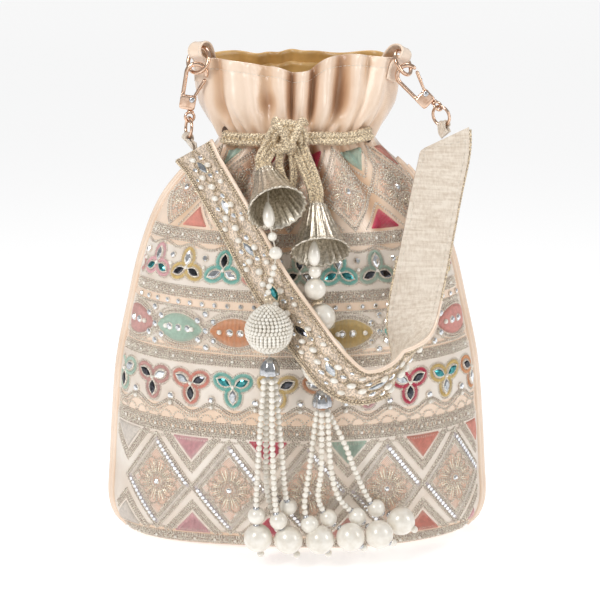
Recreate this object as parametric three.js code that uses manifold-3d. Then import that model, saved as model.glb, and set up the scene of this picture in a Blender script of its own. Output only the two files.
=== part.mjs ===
// A drawstring potli bag with a detachable embroidered strap, snap hooks and two beaded tassels.
// Millimetres, +Z up, the front faces -Y. The origin is the middle of the underside of the base.
import * as THREE from 'three';
import { mergeVertices } from 'three/addons/utils/BufferGeometryUtils.js';
import Module from 'manifold-3d';

const wasm = await Module();
wasm.setup();

// ---- driving dimensions ----
const gap = 0.35;              // air between pieces that touch
const wall = 1.6;              // embroidered outer shell with its padding
const liningWall = 0.8;
const baseThickness = 2.4;
const rimHeight = 262;
const neckHeight = 221;
const liningRim = 256;
const pipingTop = 204;
const pipingRadius = 2;
const pipingProud = 0.9;       // how far the piping's middle stands outside the seam
const seamHalf = pipingRadius + gap;   // half of the slot that the piping lies in
const cordRadius = 3.1;        // braided drawstring
const strapWidth = 25;
const strapFace = 1.3;         // thickness of the embroidered layer
const strapBack = 0.9;         // thickness of the silk backing
const beadRadius = 1.5;        // seed pearls on the tassel strands
const pearlMedium = 4.7;
const pearlLarge = 7.5;
const pearlTiny = 1.9;
const bellLength = 26;
const bellMouth = 14.3;
const bellCrown = 4.2;
const bellWall = 1.1;
const hookWire = 1.05;
const tabRingWire = 1.05;
const strapRingRadius = 5.2;
const strapRingWire = 0.9;

// ---- finishes ----
const finish = (color, roughness, metalness) =>
  new THREE.MeshStandardMaterial({ color, roughness, metalness });
const satin = finish(0xe3c6b2, 0.42, 0);
const embroidered = finish(0xd9c2b4, 0.6, 0);
const gold = finish(0xb98a3c, 0.5, 0);
const silk = finish(0xd8cdbf, 0.7, 0);
const zari = finish(0xb09a6a, 0.45, 0.6);
const pewter = finish(0x9c927c, 0.35, 0.9);
const roseGold = finish(0xd9a883, 0.2, 1);
const pearl = finish(0xf3ece0, 0.18, 0);
const steel = finish(0xc9ced2, 0.15, 1);

const bag = new THREE.Group();

// ---- solids ----
const vec = (x, y, z) => new THREE.Vector3(x, y, z);
const lerp = THREE.MathUtils.lerp;

// Merges shared vertices and turns the faces outwards.
function closeUp(geometry) {
  let g = geometry.clone();
  g.deleteAttribute('normal');
  g.deleteAttribute('uv');
  g = mergeVertices(g, 1e-3);
  const p = g.getAttribute('position');
  const index = Array.from(g.getIndex().array);
  const kept = [];
  let volume = 0;
  const [a, b, c] = [vec(), vec(), vec()];
  for (let i = 0; i < index.length; i += 3) {
    const [i0, i1, i2] = index.slice(i, i + 3);
    if (i0 === i1 || i1 === i2 || i2 === i0) continue;
    kept.push(i0, i1, i2);
    a.fromBufferAttribute(p, i0);
    b.fromBufferAttribute(p, i1);
    c.fromBufferAttribute(p, i2);
    volume += a.dot(b.cross(c));
  }
  if (volume < 0) {
    for (let i = 0; i < kept.length; i += 3) [kept[i], kept[i + 1]] = [kept[i + 1], kept[i]];
  }
  g.setIndex(kept);
  return g;
}

// Skins rings of equal point counts. Open ends are closed by a ladder across the ring.
function loft(rings, closed = false) {
  const n = rings[0].length;
  const count = rings.length;
  const position = rings.flat().flatMap(p => [p.x, p.y, p.z]);
  const index = [];
  const quad = (i, j, k, l) => index.push(i, j, k, i, k, l);
  for (let r = 0; r < (closed ? count : count - 1); r++) {
    const here = r * n;
    const next = ((r + 1) % count) * n;
    for (let i = 0; i < n; i++) {
      const j = (i + 1) % n;
      quad(here + i, here + j, next + j, next + i);
    }
  }
  if (!closed) {
    const top = (count - 1) * n;
    for (let i = 0; i < n / 2 - 1; i++) {
      quad(n - 1 - i, n - 2 - i, i + 1, i);
      quad(top + i, top + i + 1, top + n - 2 - i, top + n - 1 - i);
    }
  }
  const g = new THREE.BufferGeometry();
  g.setAttribute('position', new THREE.Float32BufferAttribute(position, 3));
  g.setIndex(index);
  return closeUp(g);
}

// A round wire or cord along a curve.
function wire(curve, radius, sides, steps) {
  const corners = [];
  for (let i = 0; i < sides; i++) {
    const t = (i / sides) * 2 * Math.PI;
    corners.push(new THREE.Vector2(radius * Math.cos(t), radius * Math.sin(t)));
  }
  const section = new THREE.Shape(corners);
  return closeUp(new THREE.ExtrudeGeometry(section, { steps, bevelEnabled: false, extrudePath: curve }));
}

const throughPoints = list => new THREE.CatmullRomCurve3(list.map(p => vec(...p)), false, 'centripetal');

// Rings of changing radius threaded along a curve: beads, drops and pearls as one string.
function threaded(curve, stations, sides) {
  const length = curve.getLength();
  const across = vec(0.31, 0.94, 0.12);
  return loft(stations.map(({ at, radius }) => {
    const u = THREE.MathUtils.clamp(at / length, 0, 1);
    const centre = curve.getPointAt(u);
    const along = curve.getTangentAt(u);
    const side = across.clone().cross(along).normalize();
    const up = along.clone().cross(side);
    return Array.from({ length: sides }, (_, i) => {
      const t = (i / sides) * 2 * Math.PI;
      return centre.clone().addScaledVector(side, radius * Math.cos(t)).addScaledVector(up, radius * Math.sin(t));
    });
  }));
}

// The stations of one pearl whose middle is at a distance along the thread.
function pearlStations(at, radius, thread, steps = 5) {
  const half = Math.acos(Math.min(thread / radius, 0.95));
  return Array.from({ length: steps + 1 }, (_, i) => {
    const t = lerp(-half, half, i / steps);
    return { at: at + radius * Math.sin(t), radius: Math.max(radius * Math.cos(t), thread) };
  });
}

const toManifold = geometry => new wasm.Manifold(new wasm.Mesh({
  numProp: 3,
  vertProperties: new Float32Array(geometry.getAttribute('position').array),
  triVerts: new Uint32Array(geometry.getIndex().array),
}));

function fromManifold(solid) {
  const mesh = solid.getMesh();
  const g = new THREE.BufferGeometry();
  g.setAttribute('position', new THREE.Float32BufferAttribute(mesh.vertProperties, 3));
  g.setIndex(Array.from(mesh.triVerts));
  return closeUp(g);
}

function join(...parts) {
  return fromManifold(parts.map(toManifold).reduce((all, one) => all.add(one)));
}

function cut(body, ...tools) {
  return fromManifold(tools.map(toManifold).reduce((all, one) => all.subtract(one), toManifold(body)));
}

function block(x, y, z, centre) {
  return closeUp(new THREE.BoxGeometry(x, y, z).translate(...centre));
}

// A round bar from z0 to z1 along Z, or along Y when it is turned.
function bar(radius, z0, z1, sides = 12) {
  const g = new THREE.CylinderGeometry(radius, radius, z1 - z0, sides);
  return g.rotateX(Math.PI / 2).translate(0, 0, (z0 + z1) / 2);
}

const torus = (radius, tube, sides = 6, around = 18) =>
  closeUp(new THREE.TorusGeometry(radius, tube, sides, around));

function add(name, geometry, material, parent = bag) {
  const mesh = new THREE.Mesh(geometry, material);
  mesh.name = name;
  parent.add(mesh);
  return mesh;
}

// ---- the pouch ----
// Half width, half depth and how far the sides pinch, at the heights where the outline turns.
const profile = [
  { z: 0, width: 87, depth: 29, pinch: 1 },
  { z: 4, width: 94.5, depth: 33, pinch: 1 },
  { z: 10, width: 99.5, depth: 36.5, pinch: 1.05 },
  { z: 20, width: 102, depth: 41, pinch: 1.1 },
  { z: 38, width: 101, depth: 46, pinch: 1.15 },
  { z: 72, width: 98.5, depth: 51, pinch: 1.2 },
  { z: 100, width: 95.5, depth: 51.5, pinch: 1.2 },
  { z: 130, width: 89, depth: 49.5, pinch: 1.18 },
  { z: 160, width: 81.5, depth: 45.5, pinch: 1.12 },
  { z: 186, width: 71, depth: 39.5, pinch: 1.06 },
  { z: 204, width: 57, depth: 32.5, pinch: 1 },
  { z: 214, width: 46, depth: 27.5, pinch: 1 },
  { z: neckHeight, width: 41, depth: 25, pinch: 1 },
  { z: 230, width: 47, depth: 25.5, pinch: 1 },
  { z: 240, width: 52, depth: 25, pinch: 1 },
  { z: rimHeight, width: 54.5, depth: 21.5, pinch: 1 },
];

// The outline at any height, on a smooth curve through the profile.
function outlineAt(z) {
  const last = profile.length - 1;
  let i = profile.findIndex(p => p.z > z) - 1;
  if (i < 0) i = z <= 0 ? 0 : last - 1;
  const [p0, p1, p2, p3] = [i - 1, i, i + 1, i + 2].map(k => profile[THREE.MathUtils.clamp(k, 0, last)]);
  const t = (z - p1.z) / (p2.z - p1.z);
  const smooth = key => {
    const m1 = (p2[key] - p0[key]) / (p2.z - p0.z) * (p2.z - p1.z);
    const m2 = (p3[key] - p1[key]) / (p3.z - p1.z) * (p2.z - p1.z);
    const [t2, t3] = [t * t, t * t * t];
    return (2 * t3 - 3 * t2 + 1) * p1[key] + (t3 - 2 * t2 + t) * m1
      + (3 * t2 - 2 * t3) * p2[key] + (t3 - t2) * m2;
  };
  return { width: smooth('width'), depth: smooth('depth'), pinch: smooth('pinch') };
}

// A point of the pouch, inset from its outer face. The angle is 0 at the middle of the front.
function pouchPoint(z, angle, inset = 0) {
  const { width, depth, pinch } = outlineAt(z);
  const c = Math.cos(angle);
  return vec((width - inset) * Math.sin(angle), -(depth - inset) * Math.sign(c) * Math.abs(c) ** pinch, z);
}

// The angle at which a face of the pouch comes within a distance of the side seam plane.
function seamAngle(z, inset, distance) {
  const { depth, pinch } = outlineAt(z);
  return Math.acos((distance / (depth - inset)) ** (1 / pinch));
}

const panelLevels = [0, 4, 10, 20, 38, 64, 96, 130, 160, 184, 198, 206, 214, neckHeight, 230, 242, rimHeight];
const panelSteps = 18;

function panel(side) {
  return loft(panelLevels.map(z => {
    const slot = z < pipingTop + 6 ? seamHalf : gap / 2;
    const face = inset => {
      const end = seamAngle(z, inset, slot);
      return Array.from({ length: panelSteps + 1 }, (_, i) => {
        const p = pouchPoint(z, lerp(-end, end, i / panelSteps), inset);
        p.y *= side;
        return p;
      });
    };
    return [...face(0), ...face(wall).reverse()];
  }));
}
add('front_panel', panel(1), embroidered);
add('back_panel', panel(-1), satin);

function ovalRing(z, inset, height = z, steps = 28) {
  return Array.from({ length: steps }, (_, i) => {
    const p = pouchPoint(z, (i / steps) * 2 * Math.PI, inset);
    p.z = height;
    return p;
  });
}

add('base_panel', loft([0, baseThickness].map(h => ovalRing(0, wall + gap, h))), satin);

// The lining is one cup: up its outer face, over its hem and down its inner face.
const liningFloor = baseThickness + gap;
const liningLevels = [...panelLevels.filter(z => z > liningFloor && z < liningRim), liningRim];
const liningInset = wall + 1;
add('lining', loft([
  ovalRing(0, liningInset, liningFloor),
  ...liningLevels.map(z => ovalRing(z, liningInset)),
  ...liningLevels.map(z => ovalRing(z, liningInset + liningWall)).reverse(),
  ovalRing(0, liningInset + liningWall, liningFloor + liningWall),
]), gold);

// Satin piping in both side seams, from the foot to the neck.
const pipingLevels = [pipingRadius + 3, 12, 20, 34, 54, 80, 110, 140, 164, 182, 194, pipingTop];
for (const [name, side] of [['piping_left', -1], ['piping_right', 1]]) {
  const route = pipingLevels.map(z => vec(side * (outlineAt(z).width + pipingProud), 0, z));
  const curve = new THREE.CatmullRomCurve3(route, false, 'centripetal');
  add(name, wire(curve, pipingRadius, 6, 22), satin);
}

// ---- snap hooks and rings ----
// Each side has its tab on the rim, the ring in it, the hook on that ring, and the strap's ring in the hook's eye.
const hookLength = 25;
const bowRadius = 5.2;
const bowHeight = hookLength - hookWire - bowRadius;
const legOffset = 5.2;
const pivotHeight = 5.6;
const blockHeight = 8;
const blockDepth = 5.2;
const channel = 2.3;
const channelFloor = 3.1;
const headRadius = 1.6;
const stemRadius = 0.85;
const eyeRadius = 2.4;
const eyeWire = 0.8;
const eyeDrop = 3.7;
const gateTip = { x: 5, z: 17 };

function hookBody() {
  const bow = [vec(-legOffset, 0, 3), vec(-legOffset, 0, 10), vec(-legOffset, 0, bowHeight - 2)];
  for (let i = 0; i <= 6; i++) {
    const t = Math.PI * (1 - i / 6);
    bow.push(vec(bowRadius * Math.cos(t), 0, bowHeight + bowRadius * Math.sin(t)));
  }
  bow.push(vec(bowRadius, 0, bowHeight - 0.9));
  const shank = wire(new THREE.CatmullRomCurve3(bow, false, 'centripetal'), hookWire, 6, 18);
  const base = block(8.6, blockDepth, blockHeight, [-2, 0, blockHeight / 2]);
  const slot = block(9, channel, blockHeight, [2.2, 0, channelFloor + blockHeight / 2]);
  const pocket = closeUp(bar(headRadius + 0.4, 1.4, channelFloor + 0.01));
  const bore = closeUp(bar(stemRadius + 0.3, -1, 2));
  const rivetBore = closeUp(bar(0.75 + 0.05, -blockDepth, blockDepth).rotateX(Math.PI / 2)
    .translate(0, 0, pivotHeight));
  return cut(join(base, shank), slot, pocket, bore, rivetBore);
}

function hookGate() {
  const route = [[0.3, 0, pivotHeight + 1], [gateTip.x * 0.6, 0, lerp(pivotHeight, gateTip.z, 0.6)],
    [gateTip.x, 0, gateTip.z]];
  const lever = wire(throughPoints(route), 0.95, 6, 5);
  const tongue = closeUp(bar(2.1, -0.5, 0.95).rotateX(Math.PI / 2).translate(0, 0, pivotHeight));
  const hole = closeUp(bar(0.75 + 0.08, -3, 3).rotateX(Math.PI / 2).translate(0, 0, pivotHeight));
  const springSeat = closeUp(bar(2.4, -3, -0.5).rotateX(Math.PI / 2).translate(0, 0, pivotHeight));
  return cut(join(lever, tongue), hole, springSeat);
}

function hookRivet() {
  const half = blockDepth / 2;
  const head = y => closeUp(bar(1.5, -0.3, 0.3).rotateX(Math.PI / 2).translate(0, y, pivotHeight));
  const shaft = closeUp(bar(0.75, -half - 0.5, half + 0.5).rotateX(Math.PI / 2).translate(0, 0, pivotHeight));
  return join(head(-half - gap - 0.3), shaft, head(half + gap + 0.3));
}

// Two turns of the torsion spring beside the gate's tongue, closed on themselves.
function gateSpring() {
  const ring = new THREE.LatheGeometry([[1.0, -0.1], [1.5, -0.1], [1.5, 0.1], [1.0, 0.1], [1.0, -0.1]]
    .map(([r, y]) => new THREE.Vector2(r, y)), 12);
  return closeUp(ring.translate(0, 0.9, 0).translate(0, 0, pivotHeight));
}

function swivelEye() {
  const head = closeUp(bar(headRadius, 1.75, 2.75));
  const stem = closeUp(bar(stemRadius, -1.4, 2.2));
  const collar = closeUp(bar(1.8, -1.3, -gap));
  const eye = torus(eyeRadius, eyeWire, 6, 12).rotateX(Math.PI / 2).translate(0, 0, -eyeDrop);
  return join(head, stem, collar, closeUp(eye));
}

// The frame of a hook: its long axis towards the bow, and its gate side.
function frameFrom(origin, up, side) {
  const z = vec(...up).normalize();
  const x = vec(...side).addScaledVector(z, -vec(...side).dot(z)).normalize();
  const y = z.clone().cross(x);
  const group = new THREE.Group();
  group.matrixAutoUpdate = false;
  group.matrix.makeBasis(x, y, z).setPosition(...origin);
  bag.add(group);
  return group;
}

// A ring whose plane holds two directions, through a point that lies at its own far side.
function ringFrom(name, centre, along, across, radius, tube) {
  const x = along.clone().normalize();
  const y = across.clone().addScaledVector(x, -across.dot(x)).normalize();
  const mesh = add(name, torus(radius, tube), roseGold);
  mesh.matrixAutoUpdate = false;
  mesh.matrix.makeBasis(x, y, x.clone().cross(y)).setPosition(centre);
  return mesh;
}

// A flat strip of one width along a path, with its face turned from the path by the across direction.
function strip(path, across, width, thickness, lift = 0) {
  return loft(path.map((p, i) => {
    const before = path[Math.max(i - 1, 0)];
    const after = path[Math.min(i + 1, path.length - 1)];
    const along = after.clone().sub(before).normalize();
    const side = Array.isArray(across) ? across[i] : across;
    const normal = along.clone().cross(side).normalize();
    const corner = (w, t) => p.clone().addScaledVector(side, w * width / 2).addScaledVector(normal, t);
    return [corner(-1, lift), corner(1, lift), corner(1, lift + thickness), corner(-1, lift + thickness)];
  }));
}

// Where things are on the two sides. A tab is given by its foot, the direction of its roll, and its height.
const sides = {
  left: {
    hook: { at: [-54.8, -14.6, 235.8], up: [0.17, -0.02, 0.985], gateSide: [1, 0, 0] },
    tab: { foot: [-49.6, -10.3, 250], along: [0.8, -0.58, 0.12], up: [0, 0, 1], reach: 17.6 },
    eyeTurn: 0.35,
    ringDown: [-0.1, 0, -1],
  },
  right: {
    hook: { at: [70.1, -14.5, 240.4], up: [-0.71, 0, 0.7], gateSide: [0.7, 0, 0.71] },
    tab: { foot: [48.8, -12.7, 250.5], along: [0.62, 0.68, -0.38], up: [0.255, 0.279, 0.926], reach: 16 },
    eyeTurn: 0.9,
    ringDown: [0.3, 0, -0.95],
  },
};
const tabWidth = 8.6;
const tabThickness = 1;

const places = {};
for (const [side, { hook, tab, eyeTurn, ringDown }] of Object.entries(sides)) {
  const frame = frameFrom(hook.at, hook.up, hook.gateSide);
  add(`hook_body_${side}`, hookBody(), roseGold, frame);
  add(`hook_gate_${side}`, hookGate(), roseGold, frame);
  add(`hook_rivet_${side}`, hookRivet(), steel, frame);
  add(`gate_spring_${side}`, gateSpring(), steel, frame);
  add(`swivel_eye_${side}`, swivelEye().rotateZ(eyeTurn), roseGold, frame);

  // the tab's ring runs through the tab's roll and holds the hook's bow
  const inBow = vec(0, 0, hookLength - 2 * hookWire - tabRingWire - 7 * gap).applyMatrix4(frame.matrix);
  const along = vec(...tab.along).normalize();
  const up = vec(...tab.up).normalize();
  const roll = vec(...tab.foot).addScaledVector(up, tab.reach);
  const pull = inBow.clone().sub(roll);
  const centre = roll.clone().addScaledVector(pull, 0.5);
  ringFrom(`tab_ring_${side}`, centre, pull, along, pull.length() / 2, tabRingWire);

  // the strap's ring lies in the swivel's eye, square to it
  const top = vec(0, 0, -eyeDrop - (eyeRadius - eyeWire) + strapRingWire + gap);
  const normal = vec(Math.cos(eyeTurn), Math.sin(eyeTurn), 0);
  const down = vec(...ringDown).normalize();
  const across = normal.clone().cross(vec(0, 0, 1)).transformDirection(frame.matrix);
  across.addScaledVector(down, -across.dot(down)).normalize();
  const ringCentre = top.applyMatrix4(frame.matrix).addScaledVector(down, strapRingRadius);
  ringFrom(`strap_ring_${side}`, ringCentre, down, across, strapRingRadius, strapRingWire);
  places[side] = { along, up, ringFoot: ringCentre.clone().addScaledVector(down, strapRingRadius), down, across };
}

// ---- tabs astride the rim ----
// A folded satin strip: up the outside, over the ring's wire, and down inside the lining.
function rimTab(side, path) {
  const { along, up } = places[side];
  const out = along.clone().cross(up).normalize();
  const foot = vec(...sides[side].tab.foot);
  const route = throughPoints(path).getSpacedPoints(26)
    .map(p => foot.clone().addScaledVector(out, p.x).addScaledVector(up, p.z));
  return strip(route, along, tabWidth, tabThickness, -tabThickness / 2);
}
const astride = reach => [[0, 0, 0], [0, 0, reach - 8], [1.6, 0, reach - 5.6], [4.4, 0, reach - 3.6],
  [4.9, 0, reach - 0.6], [2.8, 0, reach + 1.8], [-0.4, 0, reach + 2.4], [-3.4, 0, reach + 1.2],
  [-6, 0, reach - 2.6], [-7.3, 0, reach - 7], [-7.3, 0, 1]];
for (const side of ['left', 'right']) {
  add(`tab_${side}`, rimTab(side, astride(sides[side].tab.reach)), satin);
}

// ---- the strap ----
// The strap hangs from the left ring over the front of the bag, folds back on itself
// and stands up to the right ring. Each station has its middle and the way across the strap.
const strapStations = [
  { at: [-52.8, -21.8, 215.6], across: [0.75, -0.45, 0.48] },
  { at: [-48, -28.5, 209.5], across: [0.7, -0.6, 0.4] },
  { at: [-43, -35, 202.5], across: [0.7, -0.6, 0.4] },
  { at: [-29.5, -48, 182], across: [0.7, -0.6, 0.4] },
  { at: [-15, -57, 157], across: [0.72, -0.55, 0.42] },
  { at: [-1.5, -62, 137.5], across: [0.75, -0.5, 0.42] },
  { at: [13.5, -77.5, 120], across: [0.8, -0.45, 0.4] },
  { at: [24, -82, 110.5], across: [0.84, -0.3, 0.45] },
  { at: [36.5, -82, 108], across: [0.6, -0.12, 0.79] },
  { at: [48.5, -77, 112.5], across: [0.3, -0.1, 0.95] },
  { at: [56.5, -68, 122.5], across: [0.6, -0.55, 0.58] },
  { at: [58.5, -58, 137], across: [0.96, -0.25, 0.08] },
  { at: [65, -46, 168.5], across: [0.97, 0, -0.24] },
  { at: [71.5, -32, 197], across: [0.97, 0, -0.24] },
  { at: [75.3, -23.5, 211.5], across: [0.97, 0, -0.24] },
  { at: [77.4, -18.8, 221.8], across: [0.9, 0, 0.43] },
];
const strapSteps = 4;          // rings between two stations

function strapPath() {
  const curve = throughPoints(strapStations.map(s => s.at));
  const spans = strapStations.length - 1;
  const path = [];
  const across = [];
  for (let i = 0; i <= spans * strapSteps; i++) {
    const t = i / strapSteps;
    const k = Math.min(Math.floor(t), spans - 1);
    path.push(curve.getPoint(t / spans));
    across.push(vec(...strapStations[k].across).lerp(vec(...strapStations[k + 1].across), t - k).normalize());
  }
  return { path, across };
}
const strap = strapPath();
const strapGap = 0.45;
add('strap_face', strip(strap.path, strap.across, strapWidth, strapFace, strapGap / 2), zari);
add('strap_backing', strip(strap.path, strap.across, strapWidth, -strapBack, -strapGap / 2), silk);

// A narrow tab at each end of the strap goes round the ring's wire.
const strapTabWidth = 4.6;
function strapTab(side, endPoint) {
  const { ringFoot, down, across } = places[side];
  const out = across.clone().cross(down).normalize();
  const end = endPoint.clone().sub(ringFoot);
  const reach = end.dot(down) - 2;
  const drift = end.dot(out);
  const aside = end.dot(across);
  const half = 2.2;
  const loop = [[drift - 0.9, reach], [lerp(-half, drift, 0.4), reach * 0.45], [-half, 0.2], [-half * 0.7, -1.5],
    [0, -2.2], [half * 0.7, -1.5], [half, 0.2], [lerp(half, drift, 0.4), reach * 0.45], [drift + 0.9, reach]];
  const route = throughPoints(loop.map(([o, d]) => [o, 0, d])).getSpacedPoints(22).map(p => ringFoot.clone()
    .addScaledVector(out, p.x).addScaledVector(down, p.z)
    .addScaledVector(across, aside * THREE.MathUtils.smoothstep(p.z, 1.5, reach)));
  return strip(route, across, strapTabWidth, 0.8, -0.4);
}
add('strap_tab_left', strapTab('left', strap.path[0]), silk);
add('strap_tab_right', strapTab('right', strap.path[strap.path.length - 1]), silk);

// ---- the drawstring ----
// One braided cord: a loop drawn tight round the neck, a knot in front and two doubled tails.
const knotCentre = [-4, -32.5, 226];
const crownLeft = vec(-15.8, -44.5, 208.5);
const crownRight = vec(9.8, -46.5, 191.5);
const crownClear = 1.9;        // lets a bell tilt under the end of its tail
const bellAxisLeft = vec(0.228, -0.806, -0.546).normalize();
const bellAxisRight = vec(0.07, -0.657, -0.753).normalize();

function drawstring() {
  const clear = cordRadius + gap + 1.3;
  const around = Array.from({ length: 32 }, (_, i) => pouchPoint(neckHeight + 2, i / 32 * 2 * Math.PI, -clear));
  const neck = new THREE.CatmullRomCurve3(around, true, 'centripetal');
  const rings = Array.from({ length: 32 }, (_, i) => {
    const centre = neck.getPointAt(i / 32);
    const along = neck.getTangentAt(i / 32);
    const side = along.clone().cross(vec(0, 0, 1)).normalize();
    return Array.from({ length: 8 }, (_, k) => {
      const t = k / 8 * 2 * Math.PI;
      return centre.clone().addScaledVector(side, cordRadius * Math.cos(t))
        .add(vec(0, 0, cordRadius * Math.sin(t)));
    });
  });
  const knot = closeUp(new THREE.SphereGeometry(1, 12, 8).scale(7.8, 5.6, 9).translate(...knotCentre));
  const tail = (from, crown, axis) => {
    const foot = crown.clone().addScaledVector(axis, -crownClear);
    const above = foot.clone().addScaledVector(axis, -3);
    return wire(new THREE.CatmullRomCurve3([vec(...from), above, foot], false, 'centripetal'), 3.8, 8, 8);
  };
  const spare = wire(throughPoints([[-8, -34, 222], [-9, -38, 213], [-5, -39, 203], [-2, -38, 200]]), 2.6, 8, 6);
  return join(loft(rings, true), knot, tail([-12, -34, 224], crownLeft, bellAxisLeft),
    tail([0, -35, 224], crownRight, bellAxisRight), spare);
}
add('drawstring', drawstring(), zari);

// ---- tassels ----
// A body of revolution about its own Z, placed with that axis along a direction.
function turned(profilePoints, sides, centre, axis) {
  const g = new THREE.LatheGeometry(profilePoints.map(([r, z]) => new THREE.Vector2(r, z)), sides);
  g.rotateX(Math.PI / 2);
  const turn = new THREE.Quaternion().setFromUnitVectors(vec(0, 0, 1), axis.clone().normalize());
  return closeUp(g.applyQuaternion(turn).translate(centre.x, centre.y, centre.z));
}

// The bell is a flared cone with a small hole in its crown for the tassel's thread.
const bellProfile = [[0.9, 0], [bellCrown, 0], [5, 4], [7, 11], [10.2, 19], [bellMouth, bellLength],
  [bellMouth - bellWall, bellLength + 0.2], [10.2 - bellWall, 19.6], [7 - bellWall, 12], [5 - bellWall, 5.5],
  [bellCrown - bellWall, 1.4], [0.9, 1.4], [0.9, 0]];

// A bored bead: its length along the thread may differ from its width.
function bead(centre, axis, radius, half, bore = 0.75, sides = 12) {
  const outer = [];
  const end = Math.acos(Math.min(bore / radius, 0.9));
  for (let i = 0; i <= 6; i++) {
    const t = lerp(-end, end, i / 6);
    outer.push([radius * Math.cos(t), half * Math.sin(t)]);
  }
  const [first] = outer;
  return turned([...outer, [first[0], -first[1]], first], sides, centre, axis);
}

const threadRadius = 0.4;
const tassels = {
  left: {
    crown: crownLeft,
    axis: bellAxisLeft,
    thread: [[-14.8, -50.5, 203.5], [-14.2, -58, 198.5], [-14, -62.5, 190], [-12, -65.5, 179.6], [-10.4, -67.5, 171.8],
      [-11.6, -70, 163], [-13.6, -71, 156], [-14.4, -71.2, 149.2], [-13.9, -71.2, 134], [-13.6, -71.1, 112]],
    beads: [['drop', 3.4, 6.4, 2], ['pearl_small', 2.2, 2.2, 3], ['pearl', 3.2, 3.2, 4], ['bead', 2.3, 1.7, 7],
      ['beaded_ball', 12, 12.4, 8]],
    cap: [-13.6, -71, 114.6],
    strands: [
      { points: [[-16.4, -71, 108.2], [-19, -68.5, 74], [-21, -62.5, 39.5], [-21, -60, 30.5], [-20.4, -58.5, 17.5],
        [-19, -58.5, 8.6]], pearls: [pearlMedium, pearlLarge, pearlTiny] },
      { points: [[-12.6, -72.5, 108.2], [-12.4, -70, 69], [-11, -64, 37], [-9.6, -62, 28.5], [-4.4, -60, 17],
        [0, -60.5, 9]], pearls: [pearlMedium, pearlLarge, pearlTiny] },
      { points: [[-11, -69.6, 108.2], [-7.4, -65, 62.5], [-5.8, -59, 41], [-4.4, -55.5, 34]],
        pearls: [pearlMedium] },
      { points: [[-14.6, -68.6, 108.2], [-15.8, -63, 66.5], [-14.5, -53, 35.5], [-8, -49.5, 21]],
        pearls: [pearlMedium] },
    ],
  },
  right: {
    crown: crownRight,
    axis: bellAxisRight,
    thread: [[9.4, -53.5, 185.5], [8.8, -60, 179], [8.6, -63, 170.6], [9, -62.4, 161], [9.2, -60.4, 151.8],
      [10.4, -59.4, 145], [12.6, -58.6, 136.6], [14.2, -62.6, 114.6], [12.8, -62.6, 93]],
    beads: [['drop', 3.4, 6, 2], ['pearl_small', 3.1, 3.1, 3], ['pearl', 5.5, 5.5, 4], ['disc', 3.2, 0.9, 5],
      ['pearl_large', 7, 7, 6], ['beaded_ball', 12, 13.4, 7]],
    cap: [12.8, -62.6, 95.2],
    strands: [
      { points: [[10.3, -63, 88.8], [6.4, -61, 56], [4, -59.5, 34], [6.6, -59.5, 25.5], [12, -60, 17],
        [16.4, -60.5, 9.8]], pearls: [pearlMedium, pearlLarge, pearlTiny] },
      { points: [[12.6, -65.4, 88.8], [12.4, -63, 56], [11.2, -58.5, 39], [16.4, -54, 27], [28, -59.5, 18.4],
        [35, -60.5, 12.6]], pearls: [pearlMedium, pearlLarge, pearlTiny] },
      { points: [[15.5, -64.3, 88.8], [17.8, -61.5, 55], [22, -57.5, 39], [31.6, -52, 27], [43, -57, 18.8],
        [50.4, -59.5, 15]], pearls: [pearlMedium, pearlLarge, pearlTiny] },
      { points: [[15.2, -61, 88.8], [25, -58, 68], [30.5, -54, 52], [41.8, -46.5, 29.4], [55, -47, 22.4],
        [62, -49, 18.4]], pearls: [pearlMedium, pearlLarge, pearlTiny] },
    ],
  },
};

function strandSolid({ points, pearls }) {
  const curve = throughPoints(points);
  const spans = points.length - 1;
  const lengths = curve.getLengths(40 * spans);
  const pearlsFrom = points.length - pearls.length;
  const stations = [];
  for (let i = 0; i < 8; i++) stations.push({ at: lerp(0, lengths[40 * (pearlsFrom - 1)], i / 7), radius: beadRadius });
  pearls.forEach((radius, i) => {
    const at = lengths[40 * (pearlsFrom + i)];
    const before = stations[stations.length - 1].at;
    const thread = i === pearls.length - 1 && i > 0 ? 0.9 : beadRadius;
    stations.push(...pearlStations(at, radius, thread, radius > 3 ? 6 : 4).filter(s => s.at > before + 0.05));
  });
  const end = lengths[lengths.length - 1];
  return threaded(curve, stations.filter(s => s.at <= end), 6);
}

for (const [side, tassel] of Object.entries(tassels)) {
  const { crown, axis, thread, beads, cap, strands } = tassel;
  add(`bell_${side}`, turned(bellProfile, 20, crown, axis), pewter);
  const curve = throughPoints([crown.toArray(), ...thread]);
  const spans = thread.length;
  add(`tassel_thread_${side}`, wire(curve, threadRadius, 4, 28), silk);
  for (const [name, radius, half, station] of beads) {
    const middle = (station + 1) / spans;
    const at = curve.getPoint(middle);
    add(`${name}_${side}`, bead(at, curve.getTangent(middle), radius, half, radius > 6 ? 1.9 : 1.2), pearl);
  }
  add(`tassel_cap_${side}`, bead(vec(...cap), vec(0, 0, 1), 4.6, 4.4, 1.2), steel);
  strands.forEach((strand, i) => add(`strand_${side}_${i + 1}`, strandSolid(strand), pearl));
}

export default bag;
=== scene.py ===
import math
import random

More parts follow.
